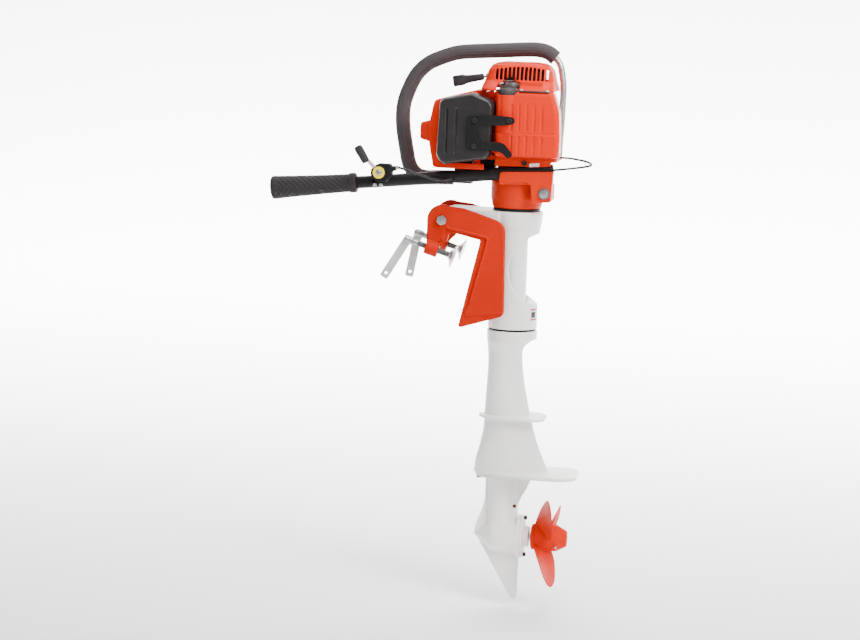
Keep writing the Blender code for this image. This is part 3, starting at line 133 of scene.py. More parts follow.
class Graph:
    def __init__(self, name, slot):
        self.mat = bpy.data.materials.new(name)
        self.mat.use_nodes = True
        self.tree = self.mat.node_tree
        self.shader = self.tree.nodes["Principled BSDF"]
        self.where = self.add("ShaderNodeTexCoord").outputs["Object"]
        MATS[name] = self.mat

    def add(self, kind, **settings):
        node = self.tree.nodes.new(kind)
        for key, value in settings.items():
            if key in node.inputs:
                node.inputs[key].default_value = value
            else:
                setattr(node, key, value)
        return node

    def link(self, out, to):
        self.tree.links.new(out, to)

    def set(self, **values):
        for key, value in values.items():
            self.shader.inputs[key.replace("_", " ")].default_value = value

    def noise(self, scale, detail=3.0, rough=0.5, stretch=None, where=None):
        node = self.add("ShaderNodeTexNoise", Scale=scale, Detail=detail, Roughness=rough)
        source = where or self.where
        if stretch:
            mapping = self.add("ShaderNodeMapping", Scale=stretch)
            self.link(source, mapping.inputs["Vector"])
            source = mapping.outputs["Vector"]
        self.link(source, node.inputs["Vector"])
        return node.outputs["Fac"]

    def ramp(self, value, *stops):
        node = self.add("ShaderNodeValToRGB")
        ramp = node.color_ramp
        while len(ramp.elements) < len(stops):
            ramp.elements.new(0.5)
        for element, (at, colour) in zip(ramp.elements, stops):
            element.position = at
            element.color = (*colour, 1.0) if not isinstance(colour, float) \
                else (colour, colour, colour, 1.0)
        self.link(value, node.inputs["Fac"])
        return node.outputs["Color"]

    def spread(self, value, low, high, from_low=0.3, from_high=0.7):
        node = self.add("ShaderNodeMapRange")
        node.inputs["From Min"].default_value = from_low
        node.inputs["From Max"].default_value = from_high
        node.inputs["To Min"].default_value = low
        node.inputs["To Max"].default_value = high
        self.link(value, node.inputs["Value"])
        return node.outputs["Result"]

    def mix(self, factor, a, b, blend="MIX"):
        node = self.add("ShaderNodeMix")
        node.data_type = "RGBA"
        node.blend_type = blend
        for value, socket in ((factor, 0), (a, 6), (b, 7)):
            if hasattr(value, "links") or isinstance(value, bpy.types.NodeSocket):
                self.link(value, node.inputs[socket])
            elif socket == 0:
                node.inputs[0].default_value = value
            else:
                node.inputs[socket].default_value = (*value, 1.0)
        return node.outputs[2]

    def bump(self, height, strength, distance, under=None):
        node = self.add("ShaderNodeBump", Strength=strength, Distance=distance)
        self.link(height, node.inputs["Height"])
        if under is not None:
            self.link(under, node.inputs["Normal"])
        self.link(node.outputs["Normal"], self.shader.inputs["Normal"])
        return node.outputs["Normal"]

    def pointy(self):
        return self.add("ShaderNodeNewGeometry").outputs["Pointiness"]


def shade(colour, k):
    return tuple(max(0.0, min(1.0, v * k)) for v in colour)


def painted(name, slot, colour, rough, grain=650.0, depth=0.10, edge_wear_and_highlight=1.14, hollow=0.72,
            coat=0.0, tone=0.05, metallic=0.0, fleck=None, spec=0.5):
    """Paint or moulded plastic: slow tone changes, fine grain, edges a little lighter (partly wear, partly a painted
    highlight) and hollows a little darker (painted shade)."""
    g = Graph(name, slot)
    slow = g.noise(9.0, 4.0, 0.55)
    base = g.mix(g.spread(slow, 0.0, 1.0, 0.35, 0.65), shade(colour, 1.0 - tone), shade(colour, 1.0 + tone))
    # pointiness ramp: darker in hollows is painted shade; lighter on edges is partly wear, partly a painted highlight
    edges = g.ramp(g.pointy(), (0.40, hollow), (0.485, 1.0), (0.52, 1.0), (0.60, edge_wear_and_highlight))
    base = g.mix(0.85, base, edges, "MULTIPLY")
    if fleck:
        marks = g.ramp(g.noise(130.0, 2.0, 0.6), (0.70, 0.0), (0.76, 1.0))
        base = g.mix(marks, base, fleck)
    g.link(base, g.shader.inputs["Base Color"])
    fine = g.noise(grain, 2.0, 0.6)
    wide = g.noise(28.0, 3.0, 0.5)
    g.link(g.spread(wide, rough - 0.06, rough + 0.08), g.shader.inputs["Roughness"])
    under = g.bump(wide, 0.05, 0.002)
    g.bump(fine, depth, 0.0004, under)
    g.set(Metallic=metallic)
    g.shader.inputs["Specular IOR Level"].default_value = spec
    if coat:
        g.set(Coat_Weight=coat, Coat_Roughness=0.12)
    return g


def metal(name, slot, colour, rough, stretch=(1, 1, 1), scratch=420.0, depth=0.06, tone=0.10,
          stain=None, edge_wear_and_highlight=1.2, hollow=0.55, metallic=1.0):
    """Bare or plated metal: drawn or turned marks, small changes of tone."""
    g = Graph(name, slot)
    slow = g.noise(34.0, 4.0, 0.6)
    base = g.mix(g.spread(slow, 0.0, 1.0, 0.35, 0.65), shade(colour, 1.0 - tone), shade(colour, 1.0 + tone))
    if stain:
        base = g.mix(g.spread(g.noise(75.0, 3.0, 0.6), 0.0, 0.55, 0.45, 0.75), base, stain)
    # pointiness ramp: darker in hollows is painted shade; lighter on edges is partly wear, partly a painted highlight
    base = g.mix(0.8, base, g.ramp(g.pointy(), (0.40, hollow), (0.49, 1.0), (0.52, 1.0), (0.6, edge_wear_and_highlight)),
                 "MULTIPLY")
    g.link(base, g.shader.inputs["Base Color"])
    marks = g.noise(scratch, 4.0, 0.7, stretch)
    g.link(g.spread(marks, rough - 0.07, rough + 0.12), g.shader.inputs["Roughness"])
    g.bump(marks, depth, 0.0003)
    g.set(Metallic=metallic)
    return g


painted("orange_cast", "orange_paint", (0.44, 0.0125, 0.0006), 0.42, 900.0, 0.20, 1.25, 0.45, spec=0.06)
painted("orange_base", "orange_paint", (0.58, 0.0230, 0.0015), 0.42, 800.0, 0.14, 1.25, 0.45, spec=0.06)
painted("orange_shell", "orange_plastic", (0.66, 0.0170, 0.0006), 0.34, 1500.0, 0.06, 1.20, 0.42, tone=0.03, spec=0.08)
painted("white_cast", "white_paint", (0.810, 0.798, 0.755), 0.36, 700.0, 0.12, 1.06, 0.62, tone=0.03)
painted("white_tube", "white_paint", (0.860, 0.852, 0.825), 0.33, 900.0, 0.05, 1.03, 0.78, tone=0.02)
painted("label_white", "white_paint", (0.82, 0.81, 0.80), 0.30, 900.0, 0.03, 1.0, 0.9, tone=0.015)
painted("label_red", "orange_paint", (0.42, 0.020, 0.012), 0.34, 900.0, 0.03, 1.0, 0.9, tone=0.02, spec=0.3)
# black_sheet's edge lightening of 2.2 is a painted highlight along the muffler's edges
painted("black_sheet", "black_metal", (0.013, 0.0115, 0.012), 0.34, 1100.0, 0.10, 2.2, 0.45, tone=0.12, spec=0.42)
painted("black_tube_paint", "black_metal", (0.0100, 0.0092, 0.0098), 0.38, 900.0, 0.05, 1.5, 0.7, tone=0.12, spec=0.16)
painted("black_plain", "black_plastic", (0.0070, 0.0065, 0.0075), 0.50, 1300.0, 0.12, 1.6, 0.7, tone=0.12, spec=0.18)
painted("cable_black", "black_plastic", (0.015, 0.014, 0.016), 0.42, 1300.0, 0.05, 1.3, 0.7, tone=0.10, spec=0.28)
painted("rubber_grip", "rubber", (0.022, 0.019, 0.021), 0.64, 1000.0, 0.22, 1.6, 0.35, tone=0.08, spec=0.16)
painted("rubber_sleeve", "rubber", (0.050, 0.042, 0.044), 0.62, 1400.0, 0.25, 1.6, 0.35, tone=0.08, spec=0.25)
painted("rubber_dark", "rubber", (0.020, 0.018, 0.020), 0.60, 1100.0, 0.20, 1.5, 0.5, tone=0.08, spec=0.28)
painted("cap_grey", "grey_plastic", (0.042, 0.034, 0.032), 0.50, 900.0, 0.25, 1.35, 0.45, tone=0.12, spec=0.25)
painted("yellow_ring", "pale_zinc", (0.95, 0.68, 0.004), 0.42, 900.0, 0.06, 1.05, 0.8, spec=0.2)
painted("seal_brown", "grey_plastic", (0.09, 0.026, 0.015), 0.5, 900.0, 0.2, 1.2, 0.6, spec=0.3)
metal("steel_rod", "bright_steel", (0.52, 0.52, 0.53), 0.30, (1, 1, 1), 260.0, 0.05, metallic=0.85)
metal("steel_turned", "bright_steel", (0.56, 0.56, 0.55), 0.28, (1, 1, 1), 600.0, 0.08)
metal("zinc_plate", "zinc", (0.40, 0.415, 0.42), 0.34, (1, 1, 1), 500.0, 0.12, 0.16, (0.32, 0.33, 0.30), 1.35, 0.35)
metal("zinc_thread", "zinc", (0.20, 0.20, 0.20), 0.42, (1, 1, 1), 500.0, 0.12, 0.2, (0.14, 0.135, 0.115))
metal("zinc_strip", "pale_zinc", (0.56, 0.555, 0.515), 0.44, (1, 1, 1), 300.0, 0.10, 0.07,
      (0.48, 0.475, 0.43), 1.2, 0.5, 0.35)
metal("alloy_cast", "aluminium", (0.45, 0.46, 0.47), 0.44, (1, 1, 1), 420.0, 0.3, 0.1)
metal("alloy_machined", "aluminium", (0.60, 0.61, 0.62), 0.28, (1, 1, 1), 700.0, 0.06, 0.06)
metal("brass_plain", "zinc", (0.58, 0.50, 0.36), 0.36, (1, 1, 1), 500.0, 0.08, 0.1)

painted("prop_plastic", "orange_plastic", (0.56, 0.0150, 0.0010), 0.44, 700.0, 0.04, 1.10, 0.50,
        tone=0.04, spec=0.03)

# ------------------------------------------------------------------- shapes


def basis(direction):
    w = Vector(direction).normalized()
    seed = Vector((0, 0, 1)) if abs(w.z) < 0.9 else Vector((0, 1, 0))
    u = seed.cross(w).normalized()
    return u, w.cross(u), w


def loft(rings, closed=False):
    n = len(rings[0])
    verts = [tuple(p) for ring in rings for p in ring]
    faces = []
    count = len(rings)
    for i in range(count if closed else count - 1):
        a, b = i * n, ((i + 1) % count) * n
        for j in range(n):
            k = (j + 1) % n
            faces.append((a + j, a + k, b + k, b + j))
    if not closed:
        faces.append(tuple(reversed(range(n))))
        faces.append(tuple(range((count - 1) * n, count * n)))
    return verts, faces


def turned(profile, at=(0, 0, 0), axis=(0, 0, 1), seg=64, phase=0.0, wave=None):
    """Turn (radius, height) points about an axis.  wave(angle, height) scales
    the radius."""
    u, v, w = basis(axis)
    at = Vector(at)
    verts, faces, rows = [], [], []
    for radius, height in profile:
        centre = at + w * height
        if radius < 1e-9:
            rows.append([len(verts)] * seg)
            verts.append(tuple(centre))
            continue
        row = []
        for i in range(seg):
            t = phase + 2 * math.pi * i / seg
            r = radius * (wave(t, height) if wave else 1.0)
            row.append(len(verts))
            verts.append(tuple(centre + (u * math.cos(t) + v * math.sin(t)) * r))
        rows.append(row)
    solid_ends = profile[0][0] < 1e-9 and profile[-1][0] < 1e-9
    pairs = list(zip(rows, rows[1:]))
    if not solid_ends:
        pairs.append((rows[-1], rows[0]))
    for lower, upper in pairs:
        for j in range(seg):
            k = (j + 1) % seg
            loop = []
            for index in (lower[j], lower[k], upper[k], upper[j]):
                if index not in loop:
                    loop.append(index)
            if len(loop) > 2:
                faces.append(tuple(loop))
    return verts, faces


def rounded(points, steps=8):
    out = []
    n = len(points)
    for i in range(n):
        p = Vector(points[i][:2])
        radius = points[i][2] if len(points[i]) > 2 else 0.0
        if radius <= 0:
            out.append(tuple(p))
            continue
        to_a = (Vector(points[i - 1][:2]) - p)
        to_b = (Vector(points[(i + 1) % n][:2]) - p)
        if to_a.length < 1e-6 or to_b.length < 1e-6:
            out.append(tuple(p))
            continue
        half = to_a.angle(to_b) / 2
        if abs(math.sin(half)) > 0.9995:
            out.append(tuple(p))
            continue
        reach = min(radius / math.tan(half), to_a.length * 0.49, to_b.length * 0.49)
        radius = reach * math.tan(half)
        a, b = to_a.normalized(), to_b.normalized()
        centre = p + (a + b).normalized() * (radius / math.sin(half))
        first, last = p + a * reach - centre, p + b * reach - centre
        turn = math.atan2(first.x * last.y - first.y * last.x, first.dot(last))
        for s in range(steps + 1):
            t = turn * s / steps
            c, q = math.cos(t), math.sin(t)
            out.append((centre.x + first.x * c - first.y * q,
                        centre.y + first.x * q + first.y * c))
    return out


def lathe(profile, at=(0, 0, 0), axis=(0, 0, 1), seg=64, soft=0.5, steps=3, wave=None, phase=0.0):
    """A turned shape with every corner off the axis rounded."""
    points = [(r, h, soft) if r > 1e-9 else (r, h) for r, h in profile]
    return turned(rounded(points, steps), at, axis, seg, phase, wave)


def rod(radius, start, end, seg=48, phase=0.0):
    start, end = Vector(start), Vector(end)
    length = (end - start).length
    return turned([(0, 0), (radius, 0), (radius, length), (0, length)],
                  start, end - start, seg, phase)


def pipe(outer, inner, start, end, seg=64, soft=0.5):
    start, end = Vector(start), Vector(end)
    length = (end - start).length
    return lathe([(inner, 0), (outer, 0), (outer, length), (inner, length)],
                 start, end - start, seg, soft)


def box(x0, x1, y0, y1, z0, z1):
    ring = [(x0, y0), (x1, y0), (x1, y1), (x0, y1)]
    return loft([[(x, y, z0) for x, y in ring], [(x, y, z1) for x, y in ring]])


def prism(outline, low, high, across="Y"):
    def place(a, b, c):
        return {"Y": (a, c, b), "Z": (a, b, c), "X": (c, a, b)}[across]
    return loft([[place(a, b, low) for a, b in outline],
                 [place(a, b, high) for a, b in outline]])


def rect_ring(cx, cy, hx, hy, radius, z, steps=10):
    outline = rounded([(cx + hx, cy - hy, radius), (cx + hx, cy + hy, radius),
                       (cx - hx, cy + hy, radius), (cx - hx, cy - hy, radius)], steps)
    return [(x, y, z) for x, y in outline]


def curve(points, per_span=10):
    pts = [Vector(p) for p in points]
    pts = [2 * pts[0] - pts[1]] + pts + [2 * pts[-1] - pts[-2]]
    out = []
    for i in range(1, len(pts) - 2):
        p0, p1, p2, p3 = pts[i - 1:i + 3]
        for s in range(per_span):
            t = s / per_span
            out.append(0.5 * (2 * p1 + (p2 - p0) * t + (2 * p0 - 5 * p1 + 4 * p2 - p3) * t * t
                              + (3 * p1 - p0 - 3 * p2 + p3) * t ** 3))
    out.append(pts[-2].copy())
    return out


def tube_along(path, radius, seg=24, shape=None):
    """A round bar along a line; radius may be a function of 0..1, and
    shape(angle, along) scales it."""
    path = [Vector(p) for p in path]
    rings = []
    normal = None
    last = len(path) - 1
    for i, p in enumerate(path):
        along = (path[min(i + 1, last)] - path[max(i - 1, 0)]).normalized()
        if normal is None:
            normal = basis(along)[0]
        normal = (normal - along * normal.dot(along)).normalized()
        side = along.cross(normal)
        r = radius(i / last) if callable(radius) else radius
        ring = []
        for j in range(seg):
            t = 2 * math.pi * j / seg
            k = r * (shape(t, i / last) if shape else 1.0)
            ring.append(tuple(p + (normal * math.cos(t) + side * math.sin(t)) * k))
        rings.append(ring)
    return loft(rings)


def hexagon(centre, axis, across_flats, count=6, phase=0.0):
    u, v, _ = basis(axis)
    corner = across_flats / math.sqrt(3)
    return [tuple(Vector(centre) + (u * math.cos(phase + math.pi * i / 3)
                                    + v * math.sin(phase + math.pi * i / 3)) * corner)
            for i in range(6)]


# ------------------------------------------------------------------ objects


def raw(name, shells):
    if isinstance(shells, tuple):
        shells = [shells]
    verts, faces = [], []
    for shell_verts, shell_faces in shells:
        base = len(verts)
        verts += [(x * MM, y * MM, z * MM) for x, y, z in shell_verts]
        faces += [tuple(base + i for i in face) for face in shell_faces]
    mesh = bpy.data.meshes.new(name)
    mesh.from_pydata(verts, [], faces)
    bm = bmesh.new()
    bm.from_mesh(mesh)
    bmesh.ops.recalc_face_normals(bm, faces=bm.faces)
    bm.to_mesh(mesh)
    bm.free()
    obj = bpy.data.objects.new(name, mesh)
    scene.collection.objects.link(obj)
    return obj


def bake(obj):
    """Apply the object's modifiers to its mesh."""
    graph = bpy.context.evaluated_depsgraph_get()
    graph.update()
    mesh = bpy.data.meshes.new_from_object(obj.evaluated_get(graph))
    obj.modifiers.clear()
    old = obj.data
    obj.data = mesh
    mesh.name = obj.name
    bpy.data.meshes.remove(old)
    return obj


def combine(obj, shells, operation):
    for index, shell in enumerate(shells):
        tool = raw(f"tool_{index}", shell)
        step = obj.modifiers.new(f"step_{index}", "BOOLEAN")
        step.operation = operation
        step.solver = "EXACT"
        step.object = tool
        bake(obj)
        bpy.data.objects.remove(tool, do_unlink=True)
        bm = bmesh.new()
        bm.from_mesh(obj.data)
        bmesh.ops.remove_doubles(bm, verts=bm.verts, dist=1e-6)
        bm.to_mesh(obj.data)
        bm.free()
    assert len(obj.data.vertices) > 8, obj.name
    return obj


def join(obj, *shells):
    return combine(obj, shells, "UNION")


def cut(obj, *shells):
    return combine(obj, shells, "DIFFERENCE")


def cast(obj, voxel=1.1, passes=3, strength=0.5):
    """One skin over everything in obj, its edges rounded like a casting's."""
    step = obj.modifiers.new("skin", "REMESH")
    step.mode = "VOXEL"
    step.voxel_size = voxel * MM
    step.adaptivity = 0.0
    if passes:
        soft = obj.modifiers.new("soft", "SMOOTH")
        soft.factor = strength
        soft.iterations = passes
    bake(obj)
    obj.data.shade_smooth()
    return obj


def edged(obj, width=0.4, segments=2, angle=32.0, sharp=45.0):
    """Round an object's edges and shade it smooth."""
    if width:
        step = obj.modifiers.new("edges", "BEVEL")
        step.width = width * MM
        step.segments = segments
        step.limit_method = "ANGLE"
        step.angle_limit = math.radians(angle)
        step.use_clamp_overlap = True
        bake(obj)
    obj.data.shade_smooth()
    obj.data.set_sharp_from_angle(angle=math.radians(sharp))
    return obj


def place(obj, mat, body, *nodes):
    """Give a finished piece its material, the body it rides on, and the CAD
    nodes that it stands for."""
    obj.data.materials.clear()
    obj.data.materials.append(MATS[mat])
    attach(obj, body)
    if nodes:
        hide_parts(*nodes)
    return obj


def piece(name, shells, mat, node=None, body=None, width=0.0, voxel=0.0, passes=3, sharp=40.0,
          joins=(), cuts=(), segments=2):
    obj = raw(name, shells)
    if joins:
        join(obj, *joins)
    if cuts:
        cut(obj, *cuts)
    if voxel:
        cast(obj, voxel, passes)
    else:
        edged(obj, width, segments, sharp=sharp)
    return place(obj, mat, body or BODY_OF[node], *([node] if node else []))


def on_screw(distance, y):
    return Vector((BOSS[0], y, BOSS[1])) + SCREW_AXIS * distance


def transom_x(z):
    return z * math.tan(RAKE)


def tiller_point(x, y=TILLER_Y):
    return Vector((x, y, TILLER_Z0 + TILLER_RISE * x))


TILLER_DIR = (tiller_point(1) - tiller_point(0)).normalized()


def hex_screw(name, seat, axis, flats, head, mat, body, washer=0.0, washer_h=1.2, dish=0.0, phase=0.2):
    """A hexagon head, its corners chamfered, on an optional washer."""
    w = Vector(axis).normalized()
    seat = Vector(seat)
    top = seat + w * (washer_h if washer else 0.0)
    corner = flats / math.sqrt(3)
    rings = []
    for h, grow in ((0.0, 0.94), (0.35, 1.0), (head - 1.0, 1.0), (head - 0.25, 0.90), (head, 0.80)):
        ring = []
        u, v, _ = basis(w)
        for i in range(48):
            t = phase + 2 * math.pi * i / 48
            local = (t - phase) % (math.pi / 3) - math.pi / 6
            flat = flats / 2 / max(math.cos(local), 0.5)
            r = min(flat, corner * grow * 0.985)
            ring.append(tuple(top + w * h + (u * math.cos(t) + v * math.sin(t)) * r))
        rings.append(ring)
    shells = [loft(rings)]
    if washer:
        shells.append(lathe([(0, 0), (washer, 0), (washer, washer_h), (0, washer_h + 0.2)], seat, w, 48, 0.3))
    obj = raw(name, shells)
    edged(obj, 0.0, sharp=28.0)
    return place(obj, mat, body)


def cap_screw(name, seat, axis, radius, head, mat, body):
    """A socket cap screw: knurled side, round recess."""
    w = Vector(axis).normalized()
    shell = lathe([(0, 0), (radius, 0), (radius, head), (radius * 0.58, head), (radius * 0.55, head * 0.45),
                   (0, head * 0.40)], seat, w, 48, 0.25,
                  wave=lambda t, h: 1.0 + (0.025 * math.cos(24 * t) if 0.2 * head < h < 0.85 * head else 0.0))
    obj = raw(name, shell)
    edged(obj, 0.0, sharp=35.0)
    return place(obj, mat, body)


def slot_screw(name, seat, axis, radius, head, mat, body, turn=0.4):
    """A low round head with a cross recess."""
    w = Vector(axis).normalized()
    u, v, _ = basis(w)
    seat = Vector(seat)
    obj = raw(name, lathe([(0, 0), (radius, 0), (radius, head * 0.45), (radius * 0.72, head), (0, head * 1.08)],
                          seat, w, 40, 0.4))
    arms = []
    for k in (0, 1):
        a = u * math.cos(turn + k * math.pi / 2) + v * math.sin(turn + k * math.pi / 2)
        b = w.cross(a)
        length, half = radius * 0.6, radius * 0.13
        ring = [seat + a * s * length + b * q * half for s, q in ((-1, -1), (1, -1), (1, 1), (-1, 1))]
        arms.append(loft([[tuple(p + w * head * 0.35) for p in ring], [tuple(p + w * head * 1.5) for p in ring]]))
    cut(obj, *arms)
    edged(obj, 0.0, sharp=35.0)
    return place(obj, mat, body)


# ==================================================================== clamp
def clamp_outline():
    hump = [(PIVOT[0] + 27.0 * math.cos(math.radians(a)),
             PIVOT[2] + 27.0 * math.sin(math.radians(a))) for a in range(66, 186, 6)]
    hump.reverse()
    points = [(transom_x(-157.0), -157.0, 4), (46.0, -131.5, 11), (43.0, 31.0, 24),
              (-30.0, 54.4, 30)]
    points += list(reversed(hump))
    points += [(-95.2, -6.0, 5), (-97.0, -27.0, 6), (-79.0, -34.0, 5), (-72.5, -17.0, 6),
               (-58.5, -3.0, 7), (-54.8, 12.2, 5), (0.0, 0.0, 2.5)]
    return rounded(points, 6)


def web_outline(grow=0.0):
    points = [(-27.5, -135.0, 6), (44.6, -127.0, 10), (41.5, 29.5, 22), (-30.0, 52.4, 30)]
    points += [(PIVOT[0] + (25.0 - grow) * math.cos(math.radians(a)),
                PIVOT[2] + (25.0 - grow) * math.sin(math.radians(a))) for a in range(66, 186, 6)]
    points += [(-93.0, -6.0, 5), (-80.0, -9.0, 4), (-66.7, -1.5, 4), (-61.2, 18.0, 3),
               (13.0, 5.5, 5), (-14.0, -108.0, 6)]
    return rounded(points, 6)


for side, sign in (("port", -1), ("starboard", 1)):
    inner, outer = sign * PLATE_IN, sign * (PLATE_IN + PLATE_T)
    face = sign * (PLATE_IN + PLATE_T - 1.0), sign * OUTER
    y = sign * SCREW_Y
    plate = raw(f"bracket_{side}", prism(clamp_outline(), min(inner, outer), max(inner, outer)))
    join(plate, prism(web_outline(), min(face), max(face)),
         lathe([(0, -11.5), (13.0, -11.5), (13.0, 11.5), (0, 11.5)], on_screw(0, y), SCREW_AXIS, 64, 1.4))
    pads = [rod(2.3, (transom_x(z) - 1.6, sign * (PLATE_IN - 1), z), (transom_x(z) - 1.6, sign * (PLATE_IN + 5.2), z), 16)
            for z in range(-146, -112, 5)]
    cut(plate, rod(6.15, on_screw(-14, y), on_screw(14, y), 40, 0.1),
        rod(5.5, (PIVOT[0], sign * 40, PIVOT[2]), (PIVOT[0], sign * 70, PIVOT[2]), 40),
        rod(5.4, (-17.0, sign * 40, -121.0), (-17.0, sign * (PLATE_IN + 3.6), -121.0), 40), *pads)
    bead = curve([Vector((x, sign * (OUTER - 0.5), z)) for x, z in
                  ((-60.5, 19.9), (-42.0, 16.3), (-20.0, 12.1), (2.0, 7.9), (10.2, 5.6), (12.6, 2.6),
                   (12.4, -2.0), (9.0, -17.0), (2.0, -45.0), (-6.0, -77.0), (-14.2, -109.0))], 8)
    join(plate, tube_along(bead, 2.1, 16))
    cast(plate, 0.8, 2)
    place(plate, "orange_cast", "clamp", f"clamp_bracket_{side}")

# the tilt bolt, its flanged head, and the nut with its washer
shank = piece("tilt_bolt_shank", lathe([(0, 0), (5.0, 0), (5.0, 2 * OUTER + 12.0), (4.2, 2 * OUTER + 13.0), (0, 2 * OUTER + 13.0)],
                                       (PIVOT[0], -OUTER - 0.6, PIVOT[2]), (0, 1, 0), 40, 0.3),
              "zinc_plate", "tilt_bolt")
piece("tilt_bolt_flange", lathe([(0, 0), (8.6, 0), (8.6, 1.2), (8.0, 1.7), (0, 1.9)],
                                (PIVOT[0], -OUTER - 0.3, PIVOT[2]), (0, -1, 0), 56, 0.3), "cap_grey", body="clamp")
hex_screw("tilt_bolt_head", (PIVOT[0], -OUTER - 1.8, PIVOT[2]), (0, -1, 0), 15.6, 6.4, "zinc_plate", "clamp", phase=0.35)
nut = hex_screw("tilt_nut_hex", (PIVOT[0], OUTER + 2.0, PIVOT[2]), (0, 1, 0), 16.0, 7.4, "zinc_plate", "clamp")
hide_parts("tilt_nut")
piece("tilt_nut_washer", lathe([(5.2, 0), (9.6, 0), (9.6, 1.7), (5.2, 1.7)],
                               (PIVOT[0], OUTER + 0.3, PIVOT[2]), (0, 1, 0), 56, 0.3), "zinc_plate", body="clamp")
piece("tilt_stop_rod", lathe([(0, 0), (5.0, 0), (5.0, 2 * PLATE_IN + 6.4), (0, 2 * PLATE_IN + 6.4)],
                             (-17.0, -PLATE_IN - 3.2, -121.0), (0, 1, 0), 40, 0.9), "zinc_plate", "tilt_rod")
for sign in (-1, 1):
    clip_y = sign * (PLATE_IN - 1.4)
    ring = [(-17.0 + 6.1 * math.cos(a / 10), clip_y, -121.0 + 6.1 * math.sin(a / 10)) for a in range(6, 58)]
    piece(f"stop_rod_clip_{'port' if sign < 0 else 'starboard'}",
          tube_along(ring + [(-21.0, clip_y, -125.7), (-31.5, clip_y, -124.5)], 0.85, 12),
          "zinc_strip", body="clamp")


def threaded(at, axis, length, major, minor, lead, seg=40, per_turn=10):
    """A rod with a helical thread."""
    u, v, w = basis(axis)
    at = Vector(at)
    rows = int(length / lead * per_turn)
    rings = []
    for i in range(rows + 1):
        h = length * i / rows
        ring = []
        for j in range(seg):
            t = 2 * math.pi * j / seg
            s = (h / lead - j / seg) % 1.0
            k = 1.0 - abs(2 * s - 1.0)
            k = min(1.0, max(0.0, (k - 0.15) / 0.6))
            fade = min(1.0, h / lead, (length - h) / lead)
            r = minor + (major - minor) * (1 - k) * fade + (0 if fade >= 1 else 0)
            ring.append(tuple(at + w * h + (u * math.cos(t) + v * math.sin(t)) * r))
        rings.append(ring)
    return loft(rings)


for side, sign in (("port", -1), ("starboard", 1)):
    y = sign * SCREW_Y
    lean = math.radians(HANDLE_LEAN[side])
    pin = on_screw(-FOLD_AT, y)
    body = f"screw_{side}"
    thread = raw(f"thread_{side}", threaded(on_screw(-(FOLD_AT - 18.5), y), SCREW_AXIS,
                                            PAD_AT + FOLD_AT - 22.5, SCREW_R, SCREW_R - 1.0, SCREW_LEAD))
    edged(thread, 0.0, sharp=60)
    place(thread, "zinc_thread", body, f"clamp_screw_{side}")
    piece(f"screw_tip_{side}", lathe([(0, PAD_AT - 5.0), (4.2, PAD_AT - 5.0), (4.2, PAD_AT + 3.0), (0, PAD_AT + 3.4)],
                                     on_screw(0, y), SCREW_AXIS, 40, 0.6), "zinc_plate", body=body)
    head = raw(f"screw_head_{side}", lathe(
        [(0, FOLD_AT - 19.5), (4.9, FOLD_AT - 19.5), (4.9, FOLD_AT - 11.0), (7.0, FOLD_AT - 9.6), (7.0, FOLD_AT + 4.6),
         (5.2, FOLD_AT + 6.5), (0, FOLD_AT + 6.7)], on_screw(0, y), -SCREW_AXIS, 56, 0.7))
    slot_u = SCREW_AXIS.cross(Vector((0, 1, 0)))
    c = on_screw(-FOLD_AT - 3.0, y)
    ring = [c + SCREW_AXIS * a + slot_u * b for a, b in ((-8, -9), (15.0, -9), (15.0, 9), (-8, 9))]
    cut(head, loft([[(p.x, y - HANDLE_T / 2 - 0.4, p.z) for p in ring],
                    [(p.x, y + HANDLE_T / 2 + 0.4, p.z) for p in ring]]))
    edged(head, 0.25, 2)
    place(head, "zinc_plate", body)
    piece(f"fold_pin_{side}", lathe([(0, 0), (2.2, 0), (2.2, 14.6), (0, 14.6)], (pin.x, y - 7.3, pin.z), (0, 1, 0), 28, 0.7),
          "steel_turned", body=body)
    down = Vector((-math.sin(lean), 0, -math.cos(lean)))
    wide = Vector((down.z, 0, -down.x))
    outline = []
    for a, b, r in ((-7.0, -HANDLE_W / 2, 4.5), (-7.0, HANDLE_W / 2, 4.5),
                    (HANDLE_L - 7.0, HANDLE_W / 2, 2.5), (HANDLE_L - 7.0, -HANDLE_W / 2, 2.5)):
        p = pin + down * a + wide * b
        outline.append((p.x, p.z, r))
    hole = pin + down * (HANDLE_L - 16.0)
    piece(f"handle_strip_{side}", prism(rounded(outline, 8), y - HANDLE_T / 2, y + HANDLE_T / 2), "zinc_strip",
          f"clamp_handle_{side}", width=0.55, segments=3,
          cuts=(rod(2.7, (pin.x, y - 3, pin.z), (pin.x, y + 3, pin.z), 32, 0.2),
                rod(2.6, (hole.x, y - 3, hole.z), (hole.x, y + 3, hole.z), 32)))
    piece(f"pad_{side}", lathe([(4.55, -4.0), (8.5, -4.0), (9.5, -1.0), (14.5, 0.4), (20.0, 3.2), (20.0, 5.0), (9.0, 2.2), (4.55, 1.2)],
                               on_screw(PAD_AT, y), SCREW_AXIS, 72, 0.6), "steel_turned", f"clamp_pad_{side}")

